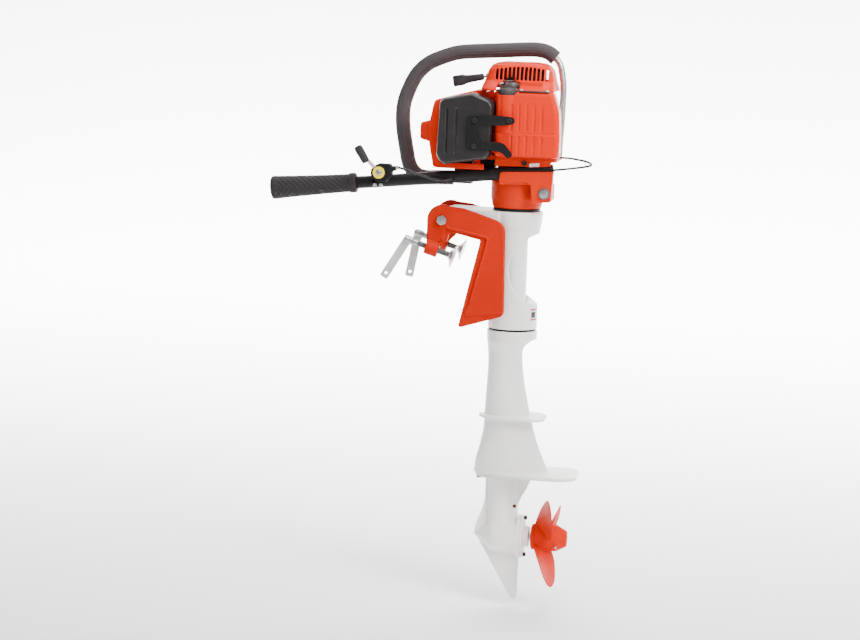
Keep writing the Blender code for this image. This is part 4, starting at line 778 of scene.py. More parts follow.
# =================================================================== swivel
swivel = raw("swivel_casting", turned(
    [(0, COLLAR_LOW - 30), (42.0, COLLAR_LOW - 30), (41.6, COLLAR_LOW), (44.2, COLLAR_LOW + 9.0), (45.8, COLLAR_LOW + 20.0),
     (46.6, COLLAR_TOP - 6.0), (46.6, COLLAR_TOP - 3.6), (45.6, COLLAR_TOP - 0.8), (44.6, COLLAR_TOP), (0, COLLAR_TOP)],
    (STEER_X, 0, 0), (0, 0, 1), 72))
spine = turned([(0, SWIVEL_BOTTOM), (43.5, SWIVEL_BOTTOM), (43.5, -118.0), (43.0, 10.0),
                (42.0, 20.0), (0, 20.0)], (STEER_X, 0, 0), (0, 0, 1), 72, 0.02)
arm = rounded([(30.0, 16.0), (30.0, COLLAR_TOP - 0.6), (-60.0, 52.0, 14), (-87.5, 44.0, 12),
               (-87.5, 20.0, 12), (-62.0, 13.2, 10), (5.0, 15.0, 6), (18.0, -20.0, 8), (30.0, -60.0)], 8)
lug = rounded([(24.0, -105.0), (-6.0, -113.0, 5), (-11.4, -117.0, 2), (-11.4, -129.0, 2), (24.0, -137.0)], 4)
join(swivel, spine, prism(arm, -43.0, 43.0), prism(lug, -18.0, 18.0))
scoop = [(115.0 + 65.0 * math.cos(2 * math.pi * i / 96), -50.6 + 65.2 * math.sin(2 * math.pi * i / 96))
         for i in range(96)]
cut(swivel, prism(scoop, -60, 60),
    turned([(0, -108), (36.5, -108), (36.5, 6), (0, 6)], (STEER_X, 0, 0), (0, 0, 1), 60),
    rod(26.9, (STEER_X, 0, -170), (STEER_X, 0, 60), 60),
    rod(5.7, (PIVOT[0], -50, PIVOT[2]), (PIVOT[0], 50, PIVOT[2]), 40))
cast(swivel, 1.1, 3)
place(swivel, "white_cast", "swivel", "swivel_bracket")
for name, z0, z1, f0, f1 in (("swivel_bush_upper", 30.0, 55.9, 51.3, 55.9),
                             ("swivel_bush_lower", -160.1, -138.0, -160.1, -157.3)):
    profile = ([(22.75, z0), (26.5, z0), (26.5, f0), (41.7, f0), (41.7, f1), (22.75, f1)]
               if f0 > 0 else
               [(22.75, f0), (41.7, f0), (41.7, f1), (26.5, f1), (26.5, z1), (22.75, z1)])
    piece("ring_" + name[12:], lathe(profile, (STEER_X, 0, 0), (0, 0, 1), 96, 0.5), "black_plain", name)
# grease nipple on the lower collar's edge, and a plain sticker on its side
nip = Vector((STEER_X + 26.5, -32.2, -106.6))
nip_dir = Vector((0.35, -0.45, 0.82)).normalized()
piece("grease_nipple", lathe([(0, -3), (2.6, -3), (2.6, 1.0), (1.7, 1.5), (1.4, 3.0), (1.9, 4.0), (1.3, 5.2), (0, 5.4)],
                             nip, nip_dir, 32, 0.25), "steel_turned", body="swivel")


def wrapped(name, x, z0, z1, a0, a1, radius, thick, mat, body, steps=16):
    """A thin patch wrapped on an upright cylinder about (x, 0)."""
    outer, inner = [], []
    for i in range(steps + 1):
        t = math.radians(a0 + (a1 - a0) * i / steps)
        outer.append((x + (radius + thick) * math.cos(t), (radius + thick) * math.sin(t)))
        inner.append((x + (radius - 0.6) * math.cos(t), (radius - 0.6) * math.sin(t)))
    return piece(name, prism(outer + list(reversed(inner)), z0, z1, "Z"), mat, body=body, width=0.10)


wrapped("sticker_plain", STEER_X, -140.5, -119.0, -38.0, -8.0, 43.6, 0.25, "label_white", "swivel")
wrapped("sticker_bar_top", STEER_X, -122.6, -119.6, -37.0, -9.0, 43.6, 0.42, "label_red", "swivel")
wrapped("sticker_bar_low", STEER_X, -140.0, -137.2, -37.0, -9.0, 43.6, 0.42, "label_red", "swivel")
wrapped("sticker_block", STEER_X, -135.5, -125.0, -35.0, -18.0, 43.6, 0.42, "rubber_sleeve", "swivel")

# ====================================================================== leg
piece("steering_column", lathe([(17.5, -172.0), (TUBE_R, -172.0), (TUBE_R, 70.0), (17.5, 70.0)],
                               (STEER_X, 0, 0), (0, 0, 1), 96, 0.6), "white_tube", "steering_tube")


def foil(x0, x1, half, z, tail=1.55, fore=0.42, steps=32):
    mid = x0 + (x1 - x0) * fore
    ring = []
    for i in range(2 * steps):
        t = math.pi * i / steps
        c, s = math.cos(t), math.sin(t)
        if c >= 0:
            x = mid + (x1 - mid) * c
            y = half * (1 - abs(c) ** tail) ** 0.8
        else:
            x = mid + (mid - x0) * c
            y = half * abs(s)
        ring.append((x, math.copysign(y, s) if abs(s) > 1e-9 else 0.0, z))
    return ring


def round_section(radius, z, steps=32):
    return [(STEER_X + radius * math.cos(math.pi * i / steps),
             radius * math.sin(math.pi * i / steps), z) for i in range(2 * steps)]


def flowing(sections, per_span=5):
    """Sections (z, front, rear, half width) joined by smooth lines."""
    out = []
    pts = [sections[0]] + list(sections) + [sections[-1]]
    for i in range(1, len(pts) - 2):
        for s in range(per_span):
            t = s / per_span
            row = []
            for k in range(4):
                p0, p1, p2, p3 = (pts[i + d][k] for d in (-1, 0, 1, 2))
                if i == 1:
                    p0 = 2 * p1 - p2
                if i == len(pts) - 3:
                    p3 = 2 * p2 - p1
                row.append(0.5 * (2 * p1 + (p2 - p0) * t + (2 * p0 - 5 * p1 + 4 * p2 - p3) * t * t
                                  + (3 * p1 - p0 - 3 * p2 + p3) * t ** 3))
            row[0] = sections[i - 1][0] + (sections[i][0] - sections[i - 1][0]) * t
            out.append(tuple(row))
    out.append(sections[-1])
    return out


LEG_SECTIONS = [
    (-180.0, 12.4, 91.0, 41.0), (-190.0, 13.2, 79.5, 33.5), (-200.0, 14.3, 76.0, 27.0),
    (-222.0, 15.2, 77.2, 25.5), (-258.0, 14.2, 82.0, 25.5), (-290.0, 12.8, 89.0, 26.0),
    (-316.0, 12.0, 95.0, 26.5), (-342.0, 10.5, 102.0, 27.0), (-368.0, 5.8, 110.8, 28.5),
    (-394.0, -0.6, 121.9, 30.0), (-416.0, -3.0, 131.5, 31.5)]


def plate_outline(x0, x1, half, nose, power, corner, steps=24):
    upper = []
    for i in range(steps + 1):
        s = i / steps
        upper.append((x0 + nose * s ** 1.6, half * (1 - (1 - s ** 1.6) ** power) ** 0.6))
    pts = [(x, -y) for x, y in upper]
    tail = [(x1, -half, corner), (x1, half, corner)]
    back = [(x, y) for x, y in reversed(upper[1:])]
    return rounded([(x, y, 0) for x, y in pts] + tail + [(x, y, 0) for x, y in back], 10)


leg = raw("leg_casting", loft(
    [round_section(43.2, LEG_TOP), round_section(44.2, LEG_TOP - 1.0), round_section(44.4, LEG_TOP - 2.0),
     round_section(44.4, -170.0), round_section(44.2, -176.0)]
    + [foil(a, b, h, z) for z, a, b, h in flowing(LEG_SECTIONS)]))
cavitation = plate_outline(-4.0, 182.6, 55.0, 120.0, 1.7, 36.0)
spray = plate_outline(2.1, 121.4, 43.0, 62.0, 2.0, 34.0)
join(leg, prism(cavitation, PLATE_Z - 6.0, PLATE_Z, "Z"), prism(spray, -319.0, -314.0, "Z"))
cut(leg, rod(22.7, (STEER_X, 0, -150.0), (STEER_X, 0, -172.4), 60))
cast(leg, 1.15, 3)
place(leg, "white_cast", "outboard", "leg_housing")

def column(z, grow=0.0, steps=64):
    return [(47.3 + (23.5 + grow) * math.cos(2 * math.pi * i / steps),
             (20.5 + grow) * math.sin(2 * math.pi * i / steps), z) for i in range(steps)]


case = raw("gearcase_casting", loft([column(-422.6, 2.0), column(-424.5, 0.8), column(-428.0), column(-470.0), column(-498.0, 0.5),
                                     column(-520.0, 1.6)]))
top_flange = plate_outline(0.0, 82.0, 34.0, 46.0, 1.8, 20.0, 16)
front_fin = rounded([(19.1, -424.0), (34.0, -424.0), (34.0, -530.0), (1.5, -530.0), (5.4, -511.0, 20),
                     (13.0, -491.8, 30), (19.1, -470.0, 40)], 8)
aft_block = rounded([(50.0, -424.0), (78.0, -424.0, 3), (78.0, -505.0, 3), (50.0, -505.0)], 4)
fin = rounded([(60.0, -423.0), (102.9, -423.0), (91.6, -448.9, 40), (83.8, -461.9, 20), (78.3, -477.9, 20),
               (76.3, -490.5), (60.0, -494.0)], 8)
torpedo = turned([(0, 1.0), (1.5, 1.3), (8.4, 9.0), (16.0, 17.0), (22.0, 24.5), (26.3, 30.5), (28.4, 34.0), (30.2, 41.0),
                  (31.0, 50.0), (31.0, 83.0), (0, 83.0)], (0, 0, PROP_Z), (1, 0, 0), 72)
skeg = rounded([(4.2, -533.4), (40.0, -540.0), (83.6, -552.0), (82.2, -648.6, 3), (72.0, -648.6, 9)], 6)
ear = rounded([(0, 37.6, 8), (-13, 37.6, 8), (-31.0, 12, 12), (-31.0, -12, 12), (-13, -37.6, 8),
               (13, -37.6, 8), (31.0, -12, 12), (31.0, 12, 12), (13, 37.6, 8)], 6)
ear = [(y, z + PROP_Z) for y, z in ear]
join(case, prism(top_flange, -426.6, CASE_TOP, "Z"), prism(front_fin, -5.5, 5.5), prism(aft_block, -10.0, 10.0),
     prism(fin, -3.6, 3.6), torpedo, prism(skeg, -3.8, 3.8), prism(ear, 79.0, 86.0, "X"))
cut(case, turned([(0, 31.0), (26.2, 35.5), (26.2, 90.0), (0, 90.0)], (0, 0, PROP_Z), (1, 0, 0), 60, 0.06))
cast(case, 1.0, 3)
place(case, "white_cast", "outboard", "gearcase")
carrier = raw("carrier_casting", prism(ear, 86.3, 90.8, "X"))
join(carrier, rod(25.2, (70.0, 0, PROP_Z), (88.0, 0, PROP_Z), 60),
     turned([(0, 88.5), (20.5, 88.5), (19.2, 93.0), (19.0, 100.3), (0, 100.3)], (0, 0, PROP_Z), (1, 0, 0), 64))
cut(carrier, rod(9.5, (96.0, 0, PROP_Z), (110, 0, PROP_Z), 40), rod(5.4, (60, 0, PROP_Z), (110, 0, PROP_Z), 40))
cast(carrier, 0.7, 3)
place(carrier, "white_cast", "outboard", "bearing_carrier")
piece("shaft_seal", lathe([(5.2, 95.5), (9.4, 95.5), (9.4, 99.4), (8.0, 99.8), (6.4, 98.6), (5.2, 98.8)],
                          (0, 0, PROP_Z), (1, 0, 0), 48, 0.25), "seal_brown", body="outboard")
for name, sign in (("carrier_bolt_top", 1), ("carrier_bolt_bottom", -1)):
    obj = cap_screw(name.replace("bolt", "screw"), (90.9, 0, PROP_Z + sign * 33.6), (1, 0, 0), 3.7, 5.0, "black_sheet", "outboard")
    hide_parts(name)
obj = hex_screw("gearcase_screw", (6.0, 0, -426.7), (0, 0, -1), 8.0, 4.4, "black_sheet", "outboard")
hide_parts("gearcase_bolt")
slot_screw("drain_screw", (73.5, -9.9, -477.1), (0, -1, 0), 3.4, 1.6, "seal_brown", "outboard")

# ------------------------------------------------- propeller and its shaft
piece("propeller_shaft", lathe([(0, 46.0), (4.6, 46.0), (4.6, 67.0), (5.0, 67.6), (5.0, 164.0), (4.0, 165.0), (0, 165.0)],
                               (0, 0, PROP_Z), (1, 0, 0), 48, 0.3), "steel_turned", "prop_shaft")


def tail_wave(t, h):
    """The hub's tail is eight-sided."""
    if h < 150.5:
        return 1.0
    k = math.pi / 8
    local = (t % (2 * k)) - k
    flat = math.cos(k) / math.cos(local)
    return 1.0 + (flat / math.cos(k) * 0.962 - 1.0) * min(1.0, (h - 150.5) / 3.0)


hub = raw("propeller_moulding", turned(
    [(5.4, PROP_X0), (18.6, PROP_X0), (19.6, PROP_X0 + 0.4), (22.6, PROP_X0 + 1.5), (23.2, PROP_X0 + 2.6), (23.2, PROP_X0 + 5.4),
     (22.7, PROP_X0 + 6.0), (21.6, PROP_X0 + 6.8), (21.8, PROP_X0 + 7.8), (22.9, PROP_X0 + 10.0), (23.6, PROP_X0 + 18.0), (24.2, 138.0),
     (24.0, 146.0), (23.6, 150.0), (23.2, 151.5), (14.6, PROP_X1 - 1.8), (13.6, PROP_X1 - 0.6), (12.4, PROP_X1), (5.4, PROP_X1)],
    (0, 0, PROP_Z), (1, 0, 0), 96, 0.0, tail_wave))


def blade(phi0, root_r, tip_r, chords=22, stations=22):
    rings = []
    for i in range(stations):
        s = i / (stations - 1)
        r = root_r + (tip_r - root_r) * (1 - (1 - s) ** 1.35)
        q = (r - root_r) / (tip_r - root_r)
        chord = (42.0 + 42.0 * math.sin(math.pi * min(q, 0.62) / 1.24)) * math.sqrt(max(1 - q ** 7.5, 0.035))
        beta = math.atan(PROP_PITCH / (2 * math.pi * r))
        thick = 4.6 * (1 - q) + 1.9
        skew = 13.0 * q * q
        ring = []
        for k in range(2 * chords):
            side = 1 if k < chords else -1
            f = (k / chords if k < chords else 2 - k / chords)
            along = (f - 0.5) * chord + skew
            bulge = side * thick / 2 * math.sqrt(max(0.0, 4 * f * (1 - f))) if 0 < f < 1 else 0.0
            x = 124.0 + along * math.sin(beta) + bulge * math.cos(beta) + 18.0 * q
            arc = along * math.cos(beta) - bulge * math.sin(beta)
            phi = phi0 + arc / r
            ring.append((x, -math.sin(phi) * r, PROP_Z + math.cos(phi) * r))
        rings.append(ring)
    return loft(rings)


PIN_X = 151.0
PIN_DIR = Vector((0.0, -math.sin(math.radians(118)), math.cos(math.radians(118))))
hole_c = Vector((PIN_X, 0, PROP_Z))
join(hub, *[blade(math.radians(a) - 0.39, 20.0, PROP_R) for a in (180.0, 60.0, -60.0)])
cut(hub, rod(2.5, hole_c - PIN_DIR * 30, hole_c + PIN_DIR * 30, 24))
cast(hub, 0.8, 3)
place(hub, "prop_plastic", "propeller", "propeller")
piece("split_pin", lathe([(1.0, -25.0), (2.1, -25.0), (2.1, 27.0), (1.0, 27.0)], hole_c, PIN_DIR, 32, 0.3),
      "steel_turned", "shear_pin")

# ============================================================== drive shaft
piece("drive_shaft_bar", lathe([(0, -514.5), (4.2, -514.5), (4.2, 80.0), (6.5, 80.4), (6.5, 88.0), (0, 88.0)],
                               (STEER_X, 0, 0), (0, 0, 1), 40, 0.3), "steel_turned", "drive_shaft")
piece("clutch_drum_cup", lathe([(0, 88.3), (35.5, 88.3), (35.5, 104.0), (32.5, 104.0), (32.5, 91.5), (0, 91.5)],
                               (STEER_X, 0, 0), (0, 0, 1), 72, 0.5), "black_sheet", "clutch_drum")


def fan_outline(blades=14):
    pts = []
    for i in range(blades):
        for s in range(7):
            t = 2 * math.pi * (i + 0.30 * s / 6) / blades
            pts.append((STEER_X + 43.6 * math.cos(t), 43.6 * math.sin(t)))
        for s in range(9):
            t = 2 * math.pi * (i + 0.36 + 0.54 * s / 8) / blades
            pts.append((STEER_X + 30.0 * math.cos(t), 30.0 * math.sin(t)))
    return pts


piece("flywheel", prism(fan_outline(), 265.0, 276.5, "Z"), "alloy_machined", "flywheel_fan", width=0.5,
      cuts=(rod(6.2, (STEER_X, 0, 250), (STEER_X, 0, 290), 32),))

# =============================================================== powerhead
adapter = raw("adapter_casting", turned(
    [(0, 56.3), (41.0, 56.3), (42.2, 57.0), (43.2, 59.0), (46.5, 75.0), (46.5, ADAPTER_TOP), (0, ADAPTER_TOP)],
    (STEER_X, 0, 0), (0, 0, 1), 96))
join(adapter, prism(rounded([(78.0, 72.0), (120.5, 72.0, 3), (120.5, 101.0, 3), (78.0, 101.0)], 4), -38.2, 4.0))
cut(adapter, rod(TUBE_R + 0.4, (STEER_X, 0, 40), (STEER_X, 0, 71), 60),
    rod(8.0, (STEER_X, 0, 60), (STEER_X, 0, 110), 40),
    rod(38.5, (STEER_X, 0, 84.0), (STEER_X, 0, 120.0), 72),
    rod(4.4, (109.0, -50, 87.2), (109.0, 20, 87.2), 32))
cast(adapter, 1.0, 3)
place(adapter, "orange_base", "outboard", "adapter_housing")

bracket = raw("tiller_bracket_casting", prism(rounded(
    [(29.5, 99.2, 2), (84.5, 101.5, 2), (87.0, 69.6, 2), (121.0, 72.4, 4), (123.4, 125.6, 2),
     (30.5, 121.2, 5)], 5), -59.0, -38.6))
cut(bracket, rod(TILLER_R + 0.3, tiller_point(10), tiller_point(140), 60),
    box(10, 90.0, -48.0, -30, 90, 103.4),
    box(84.0, 98.0, -48.5, -30, 60, 103.4),
    loft([[tuple(tiller_point(10) + Vector((0, dy, dz))) for dy, dz in
           ((-9.0, 6.0), (30.0, -2.0), (30.0, 30.0), (-9.0, 30.0))],
          [tuple(tiller_point(140) + Vector((0, dy, dz))) for dy, dz in
           ((-9.0, 6.0), (30.0, -2.0), (30.0, 30.0), (-9.0, 30.0))]]),
    prism(rounded([(36.0, 103.5, 2), (79.5, 105.0, 2), (81.0, 90.0), (33.0, 90.0)], 4), -61.0, -56.6))
cast(bracket, 0.9, 3)
place(bracket, "orange_base", "outboard", "tiller_bracket")
piece("tiller_bolt_washer", lathe([(0, 0), (10.0, 0), (10.0, 1.7), (0, 1.8)], (109.0, -59.3, 87.2), (0, -1, 0), 56, 0.4),
      "zinc_thread", body="outboard")
obj = hex_screw("tiller_bolt_head", (109.0, -61.0, 87.2), (0, -1, 0), 13.0, 4.6, "zinc_plate", "outboard")
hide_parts("tiller_bracket_bolt")
piece("tiller_bolt_end", lathe([(0, 0), (4.0, 0), (4.0, 9.0), (0, 9.6)], (109.0, 3.0, 87.2), (0, 1, 0), 32, 0.6),
      "zinc_thread", body="outboard")

tube = raw("tiller_bar", pipe(TILLER_R, TILLER_BORE, tiller_point(TILLER_X0), tiller_point(TILLER_X1), 72, 0.5))
cut(tube, rod(3.8, (-69.0, -63.4, 99.4), (-43.7, -41.8, 109.5), 40))
edged(tube, 0.0, sharp=35)
place(tube, "black_tube_paint", "outboard", "tiller_tube")
piece("tube_grommet", tube_along([(-52.6 + 4.6 * math.cos(a / 8.0) * 0.95, -50.6 + 3.2 * math.cos(a / 8.0) * 0.5 - 0.4,
                                   106.0 + 4.4 * math.sin(a / 8.0)) for a in range(0, 51)], 0.9, 12),
      "rubber_dark", body="outboard")

grip_axis = tiller_point(GRIP_X0)
GRIP_L = (tiller_point(GRIP_X1) - grip_axis).length


def grip_radius(h):
    pts = [(0.0, 19.6), (3.0, 20.4), (8.0, 20.6), (40.0, 19.0), (95.0, 17.0), (GRIP_L - 3.0, 15.9), (GRIP_L, 15.9)]
    for (h0, r0), (h1, r1) in zip(pts, pts[1:]):
        if h <= h1:
            return r0 + (r1 - r0) * (h - h0) / (h1 - h0)
    return pts[-1][1]


def grip_shell():
    """Moulded grip: rows of shallow oval dimples between smooth bands."""
    u, v, w = basis(TILLER_DIR)
    seg, rings = 144, []
    top = GRIP_L - 4.0
    heights = [i * 0.75 for i in range(int(top / 0.75) + 1)]
    around = 12
    pitch = 9.6
    for h in heights:
        ring = []
        base = grip_radius(h)
        if h < 2.4:
            base -= (2.4 - h) ** 2 * 0.35
        inside = max(0.0, min(1.0, (h - 9.0) / 2.0)) * max(0.0, min(1.0, (top - 6.0 - h) / 2.0))
        row = math.floor((h - 9.0) / (pitch / 2))
        for j in range(seg):
            t = 2 * math.pi * j / seg
            dip = 0.0
            for k in (row, row + 1):
                centre = 9.0 + (k + 0.0) * pitch / 2
                offset = (k % 2) * 0.5
                cell = (t / (2 * math.pi) * around + offset) % 1.0 - 0.5
                dx = (h - centre) / (pitch * 0.40)
                dy = cell / 0.36
                d = dx * dx + dy * dy
                if d < 1.0:
                    dip = max(dip, (1 - d) ** 0.7)
            r = base - 1.15 * dip * inside
            ring.append(tuple(grip_axis + w * h + (u * math.cos(t) + v * math.sin(t)) * r))
        rings.append(ring)
    centre_ring = [tuple(grip_axis + w * 0.0 + (Vector(p) - grip_axis) * 0.5) for p in rings[0]]
    shell = loft([centre_ring] + rings)
    return shell


piece("tiller_grip_moulding", grip_shell(), "rubber_grip", "tiller_grip", sharp=60)
piece("tiller_grip_collar", lathe([(TILLER_R + 0.2, GRIP_L - 5.0), (16.4, GRIP_L - 5.0), (17.6, GRIP_L - 2.2), (17.6, GRIP_L + 6.5), (16.0, GRIP_L + 8.5),
                                   (TILLER_R + 0.2, GRIP_L + 8.5)], grip_axis, TILLER_DIR, 72, 1.0),
      "rubber_grip", body="outboard")

# ------------------------------------------------------------------ throttle
THROTTLE = Vector((-179.2, -76.0, 112.1))
tc = tiller_point(-184.5)
saddle = raw("throttle_clamp_ring", pipe(15.5, TILLER_R + 0.3, tc - TILLER_DIR * 9, tc + TILLER_DIR * 9, 64, 0.8))
join(saddle, box(-195.0, -173.0, -62.0, -50.0, 90.5, 100.0))
cut(saddle, rod(TILLER_R + 0.3, tiller_point(-220), tiller_point(-150), 60))
cast(saddle, 0.6, 2)
place(saddle, "black_plain", "outboard", "throttle_clamp")
for i, x in enumerate((-189.6, -178.6)):
    piece(f"clamp_screw_small_{i}", lathe([(0, 0), (3.4, 0), (3.4, 4.2), (1.6, 4.2), (1.4, 2.2), (0, 2.0)],
                                          (x, -57.0, 90.9), (0, 0, -1), 36, 0.5), "steel_turned", body="outboard")
house_outline = rounded([(-168.0, 95.5, 5), (-157.0, 108.0, 5), (-159.5, 127.0, 4), (-181.0, 127.5, 6),
                         (-194.0, 120.0, 8), (-195.5, 106.0, 8), (-184.0, 96.0, 6)], 8)
house = raw("throttle_housing_moulding", prism(house_outline, -72.0, -55.0))
join(house, box(-194.0, -173.5, -66.0, -57.0, 100.4, 112.0),
     turned([(0, 0), (5.0, 0), (4.4, 9.0), (0, 9.0)], (-160.0, -64.5, 118.0), (0.96, 0, 0.28), 40))
cut(house, rod(15.9, tiller_point(-220), tiller_point(-140), 60),
    box(-195.5, -172.5, -62.4, -45.0, 90.0, 100.3),
    rod(2.4, (-166.0, -64.5, 116.3), (-140.0, -64.5, 123.8), 24))
cast(house, 0.7, 3)
place(house, "black_plain", "outboard", "throttle_housing")
piece("cable_adjuster", lathe([(2.3, 0), (3.6, 0), (3.6, 7.0), (2.3, 7.0)], (-152.5, -64.6, 120.3), (0.96, 0, 0.16), 32, 0.4),
      "steel_turned", body="outboard")
obj = slot_screw("throttle_pivot_screw", (THROTTLE.x, -79.4, THROTTLE.z), (0, -1, 0), 5.0, 2.6, "steel_turned", "outboard")
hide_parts("throttle_screw")
piece("throttle_pivot_shank", rod(1.9, (THROTTLE.x, -80.0, THROTTLE.z), (THROTTLE.x, -64.0, THROTTLE.z), 24),
      "steel_turned", body="outboard")
LEVER_DIR = Vector((-0.70, 0, 0.714)).normalized()
side_dir = Vector((LEVER_DIR.z, 0, -LEVER_DIR.x))
outline = [THROTTLE + LEVER_DIR * a + side_dir * b for a, b in ((8, -3.6), (35, -3.0), (35, 3.0), (8, 3.6))]
piece("throttle_strip", loft([[(p.x, -78.1, p.z) for p in outline], [(p.x, -76.1, p.z) for p in outline]]),
      "zinc_strip", "throttle_lever", width=0.4)
piece("throttle_disc", lathe([(2.3, -79.0), (8.3, -79.0), (8.3, -78.4), (12.0, -78.4), (12.0, -72.5), (2.3, -72.5)],
                             (THROTTLE.x, 0, THROTTLE.z), (0, 1, 0), 72, 0.4), "black_plain", body="throttle_lever")
disc = raw("throttle_face_ring", lathe([(5.6, -80.2), (10.4, -80.2), (10.4, -78.6), (5.6, -78.6)],
                                       (THROTTLE.x, 0, THROTTLE.z), (0, 1, 0), 72, 0.35))
slot_arc = [THROTTLE + Vector((8.1 * math.cos(a), -4.6, 8.1 * math.sin(a))) for a in
            [math.radians(200 + 6 * k) for k in range(12)]]
cut(disc, tube_along(slot_arc, 0.95, 12))
edged(disc, 0.0, sharp=35)
place(disc, "yellow_ring", "throttle_lever")
KNOB_A = Vector((-201.5, -77.0, 128.6))
KNOB_DIR = Vector((-10.5, 0, 16.9)).normalized()
knob_side = Vector((KNOB_DIR.z, 0, -KNOB_DIR.x))
rings = []
profile = [(0.0, 2.6, 2.0), (0.3, 4.2, 3.2), (0.9, 5.4, 4.4), (2.0, 6.3, 5.4), (5.0, 6.8, 5.9), (10.0, 7.0, 6.2), (17.0, 7.2, 6.4),
           (24.0, 7.4, 6.6), (28.5, 7.2, 6.4), (31.0, 6.5, 5.7), (32.4, 5.2, 4.4), (33.0, 3.2, 2.6)]
for d, hw, ht in profile:
    c = KNOB_A + KNOB_DIR * d
    ring = []
    for k in range(48):
        a = 2 * math.pi * k / 48
        rib = 1.0 - (0.035 * (0.5 + 0.5 * math.cos(10 * a)) if 3.0 < d < 30.0 else 0.0)
        ring.append(tuple(c + knob_side * (hw * rib * math.copysign(abs(math.cos(a)) ** 0.7, math.cos(a)))
                          + Vector((0, 1, 0)) * (ht * rib * math.copysign(abs(math.sin(a)) ** 0.7, math.sin(a)))))
    rings.append(ring)
piece("throttle_thumb_knob", loft(rings), "rubber_dark", "throttle_knob", sharp=60)

cable_route = [(-153.0, -64.5, 120.0), (-145.0, -64.6, 121.0), (-122.0, -65.0, 114.5), (-92.0, -63.0, 105.6),
               (-70.0, -59.5, 102.2), (-58.0, -54.0, 103.8), (-47.0, -44.6, 108.2), (-30.0, TILLER_Y, 111.0),
               (0.0, TILLER_Y, 114.0), (60.0, TILLER_Y, 120.6), (118.0, TILLER_Y, 127.0),
               (150.0, -36.0, 131.0), (174.0, -24.0, 134.2), (184.0, -6.0, 137.0),
               (174.0, 11.0, 141.0), (150.0, 18.2, 144.4), (138.0, 19.0, 145.3), (123.5, 19.0, 145.3)]
piece("throttle_wire", tube_along(curve(cable_route, 10), 2.0, 20), "cable_black", "throttle_cable", sharp=60)

# --------------------------------------------------------------- engine base
deck = rounded([(-62.0, -30.0, 6), (-30.0, -39.4, 12), (17.5, -39.4), (22.0, -52.0, 4), (127.0, -52.0, 12),
                (127.0, 52.0, 12), (8.0, 52.0, 4), (3.0, 47.2), (-30.0, 47.2, 8), (-62.0, 42.0, 6)], 8)
base = raw("engine_base_casting", prism(deck, BASE_Z0, BASE_Z1, "Z"))
join(base, turned([(0, ADAPTER_TOP + 0.3), (46.0, ADAPTER_TOP + 0.3), (46.0, ADAPTER_TOP + 5.0),
                   (36.0, ADAPTER_TOP + 12.0), (38.0, BASE_Z0 + 2.0), (0, BASE_Z0 + 2.0)],
                  (STEER_X, 0, 0), (0, 0, 1), 72),
     box(20.0, 118.0, -50.5, -47.5, 131.5, 143.0), box(44.0, 50.0, -50.0, -30.0, 132.0, 143.0),
     box(92.0, 98.0, -50.0, -30.0, 132.0, 143.0))
cut(base, rod(17.0, (STEER_X, 0, 90), (STEER_X, 0, 160), 48),
    turned([(0, 100.0), (37.5, 100.0), (37.5, 107.5), (0, 107.5)], (STEER_X, 0, 0), (0, 0, 1), 72),
    rod(TILLER_R + 0.6, tiller_point(-80), tiller_point(140), 60),
    box(27.0, 126.0, -70.0, -38.3, 90.0, 129.5),
    rod(2.9, (120.0, 19.0, 145.3), (140.0, 19.0, 145.3), 24))
cast(base, 1.0, 3)
place(base, "orange_base", "outboard", "engine_base")
cap_screw("base_screw", (72.0, -50.5, 138.0), (0, -1, 0), 4.6, 4.0, "black_sheet", "outboard")
piece("base_label", loft([[(x, -50.6, z) for x, z in rounded([(80.5, 131.5, 1), (98.0, 133.4, 1), (98.0, 139.4, 1), (80.5, 137.5, 1)], 3)],
                          [(x, -51.0, z) for x, z in rounded([(80.5, 131.5, 1), (98.0, 133.4, 1), (98.0, 139.4, 1), (80.5, 137.5, 1)], 3)]]),
      "label_white", body="outboard")
crank = raw("crankcase_casting", loft([rect_ring(STEER_X, 0, 53.0, 27.5, 12.0, z) for z in (BASE_Z1 + 0.3, 236.0)]
                                      + [rect_ring(STEER_X, 0, 44.0, 27.0, 12.0, 240.0),
                                         rect_ring(STEER_X, 0, 44.0, 27.0, 12.0, CASE_Z1)]))
cut(crank, rod(8.6, (STEER_X, 0, 140), (STEER_X, 0, 270), 32))
cast(crank, 1.2, 3)
place(crank, "alloy_cast", "outboard", "crankcase")
piece("crankshaft_bar", lathe([(0, 92.0), (30.0, 92.0), (30.0, 102.0), (10.0, 102.0), (8.0, 104.0), (8.0, 264.0),
                               (5.8, 264.4), (5.8, 281.0), (0, 281.0)], (STEER_X, 0, 0), (0, 0, 1), 48, 0.4),
      "steel_turned", "crankshaft")
fins = [(0, 57.0), (22.0, 57.0)]
for i in range(9):
    x = 63.0 + 7.6 * i
    fins += [(22.0, x), (35.5, x + 0.5), (35.5, x + 2.0), (22.0, x + 2.6)]
fins += [(22.0, 134.0), (30.0, 134.0), (30.0, 140.0), (6.2, 140.0), (6.2, 128.0), (0, 128.0)]
piece("cylinder_fins", lathe(fins, (STEER_X + 3.0, 0, 185.0), (-1, 0, 0), 64, 0.4), "alloy_cast", "cylinder")
piece("spark_plug_boot", lathe([(0, 129.0), (5.6, 129.0), (5.6, 140.6), (9.0, 140.6), (9.0, 146.0), (6.5, 147.0),
                                (6.5, 166.0), (0, 166.0)], (STEER_X + 3.0, 0, 185.0), (-1, 0, 0), 48, 0.8),
      "rubber_dark", "spark_plug")

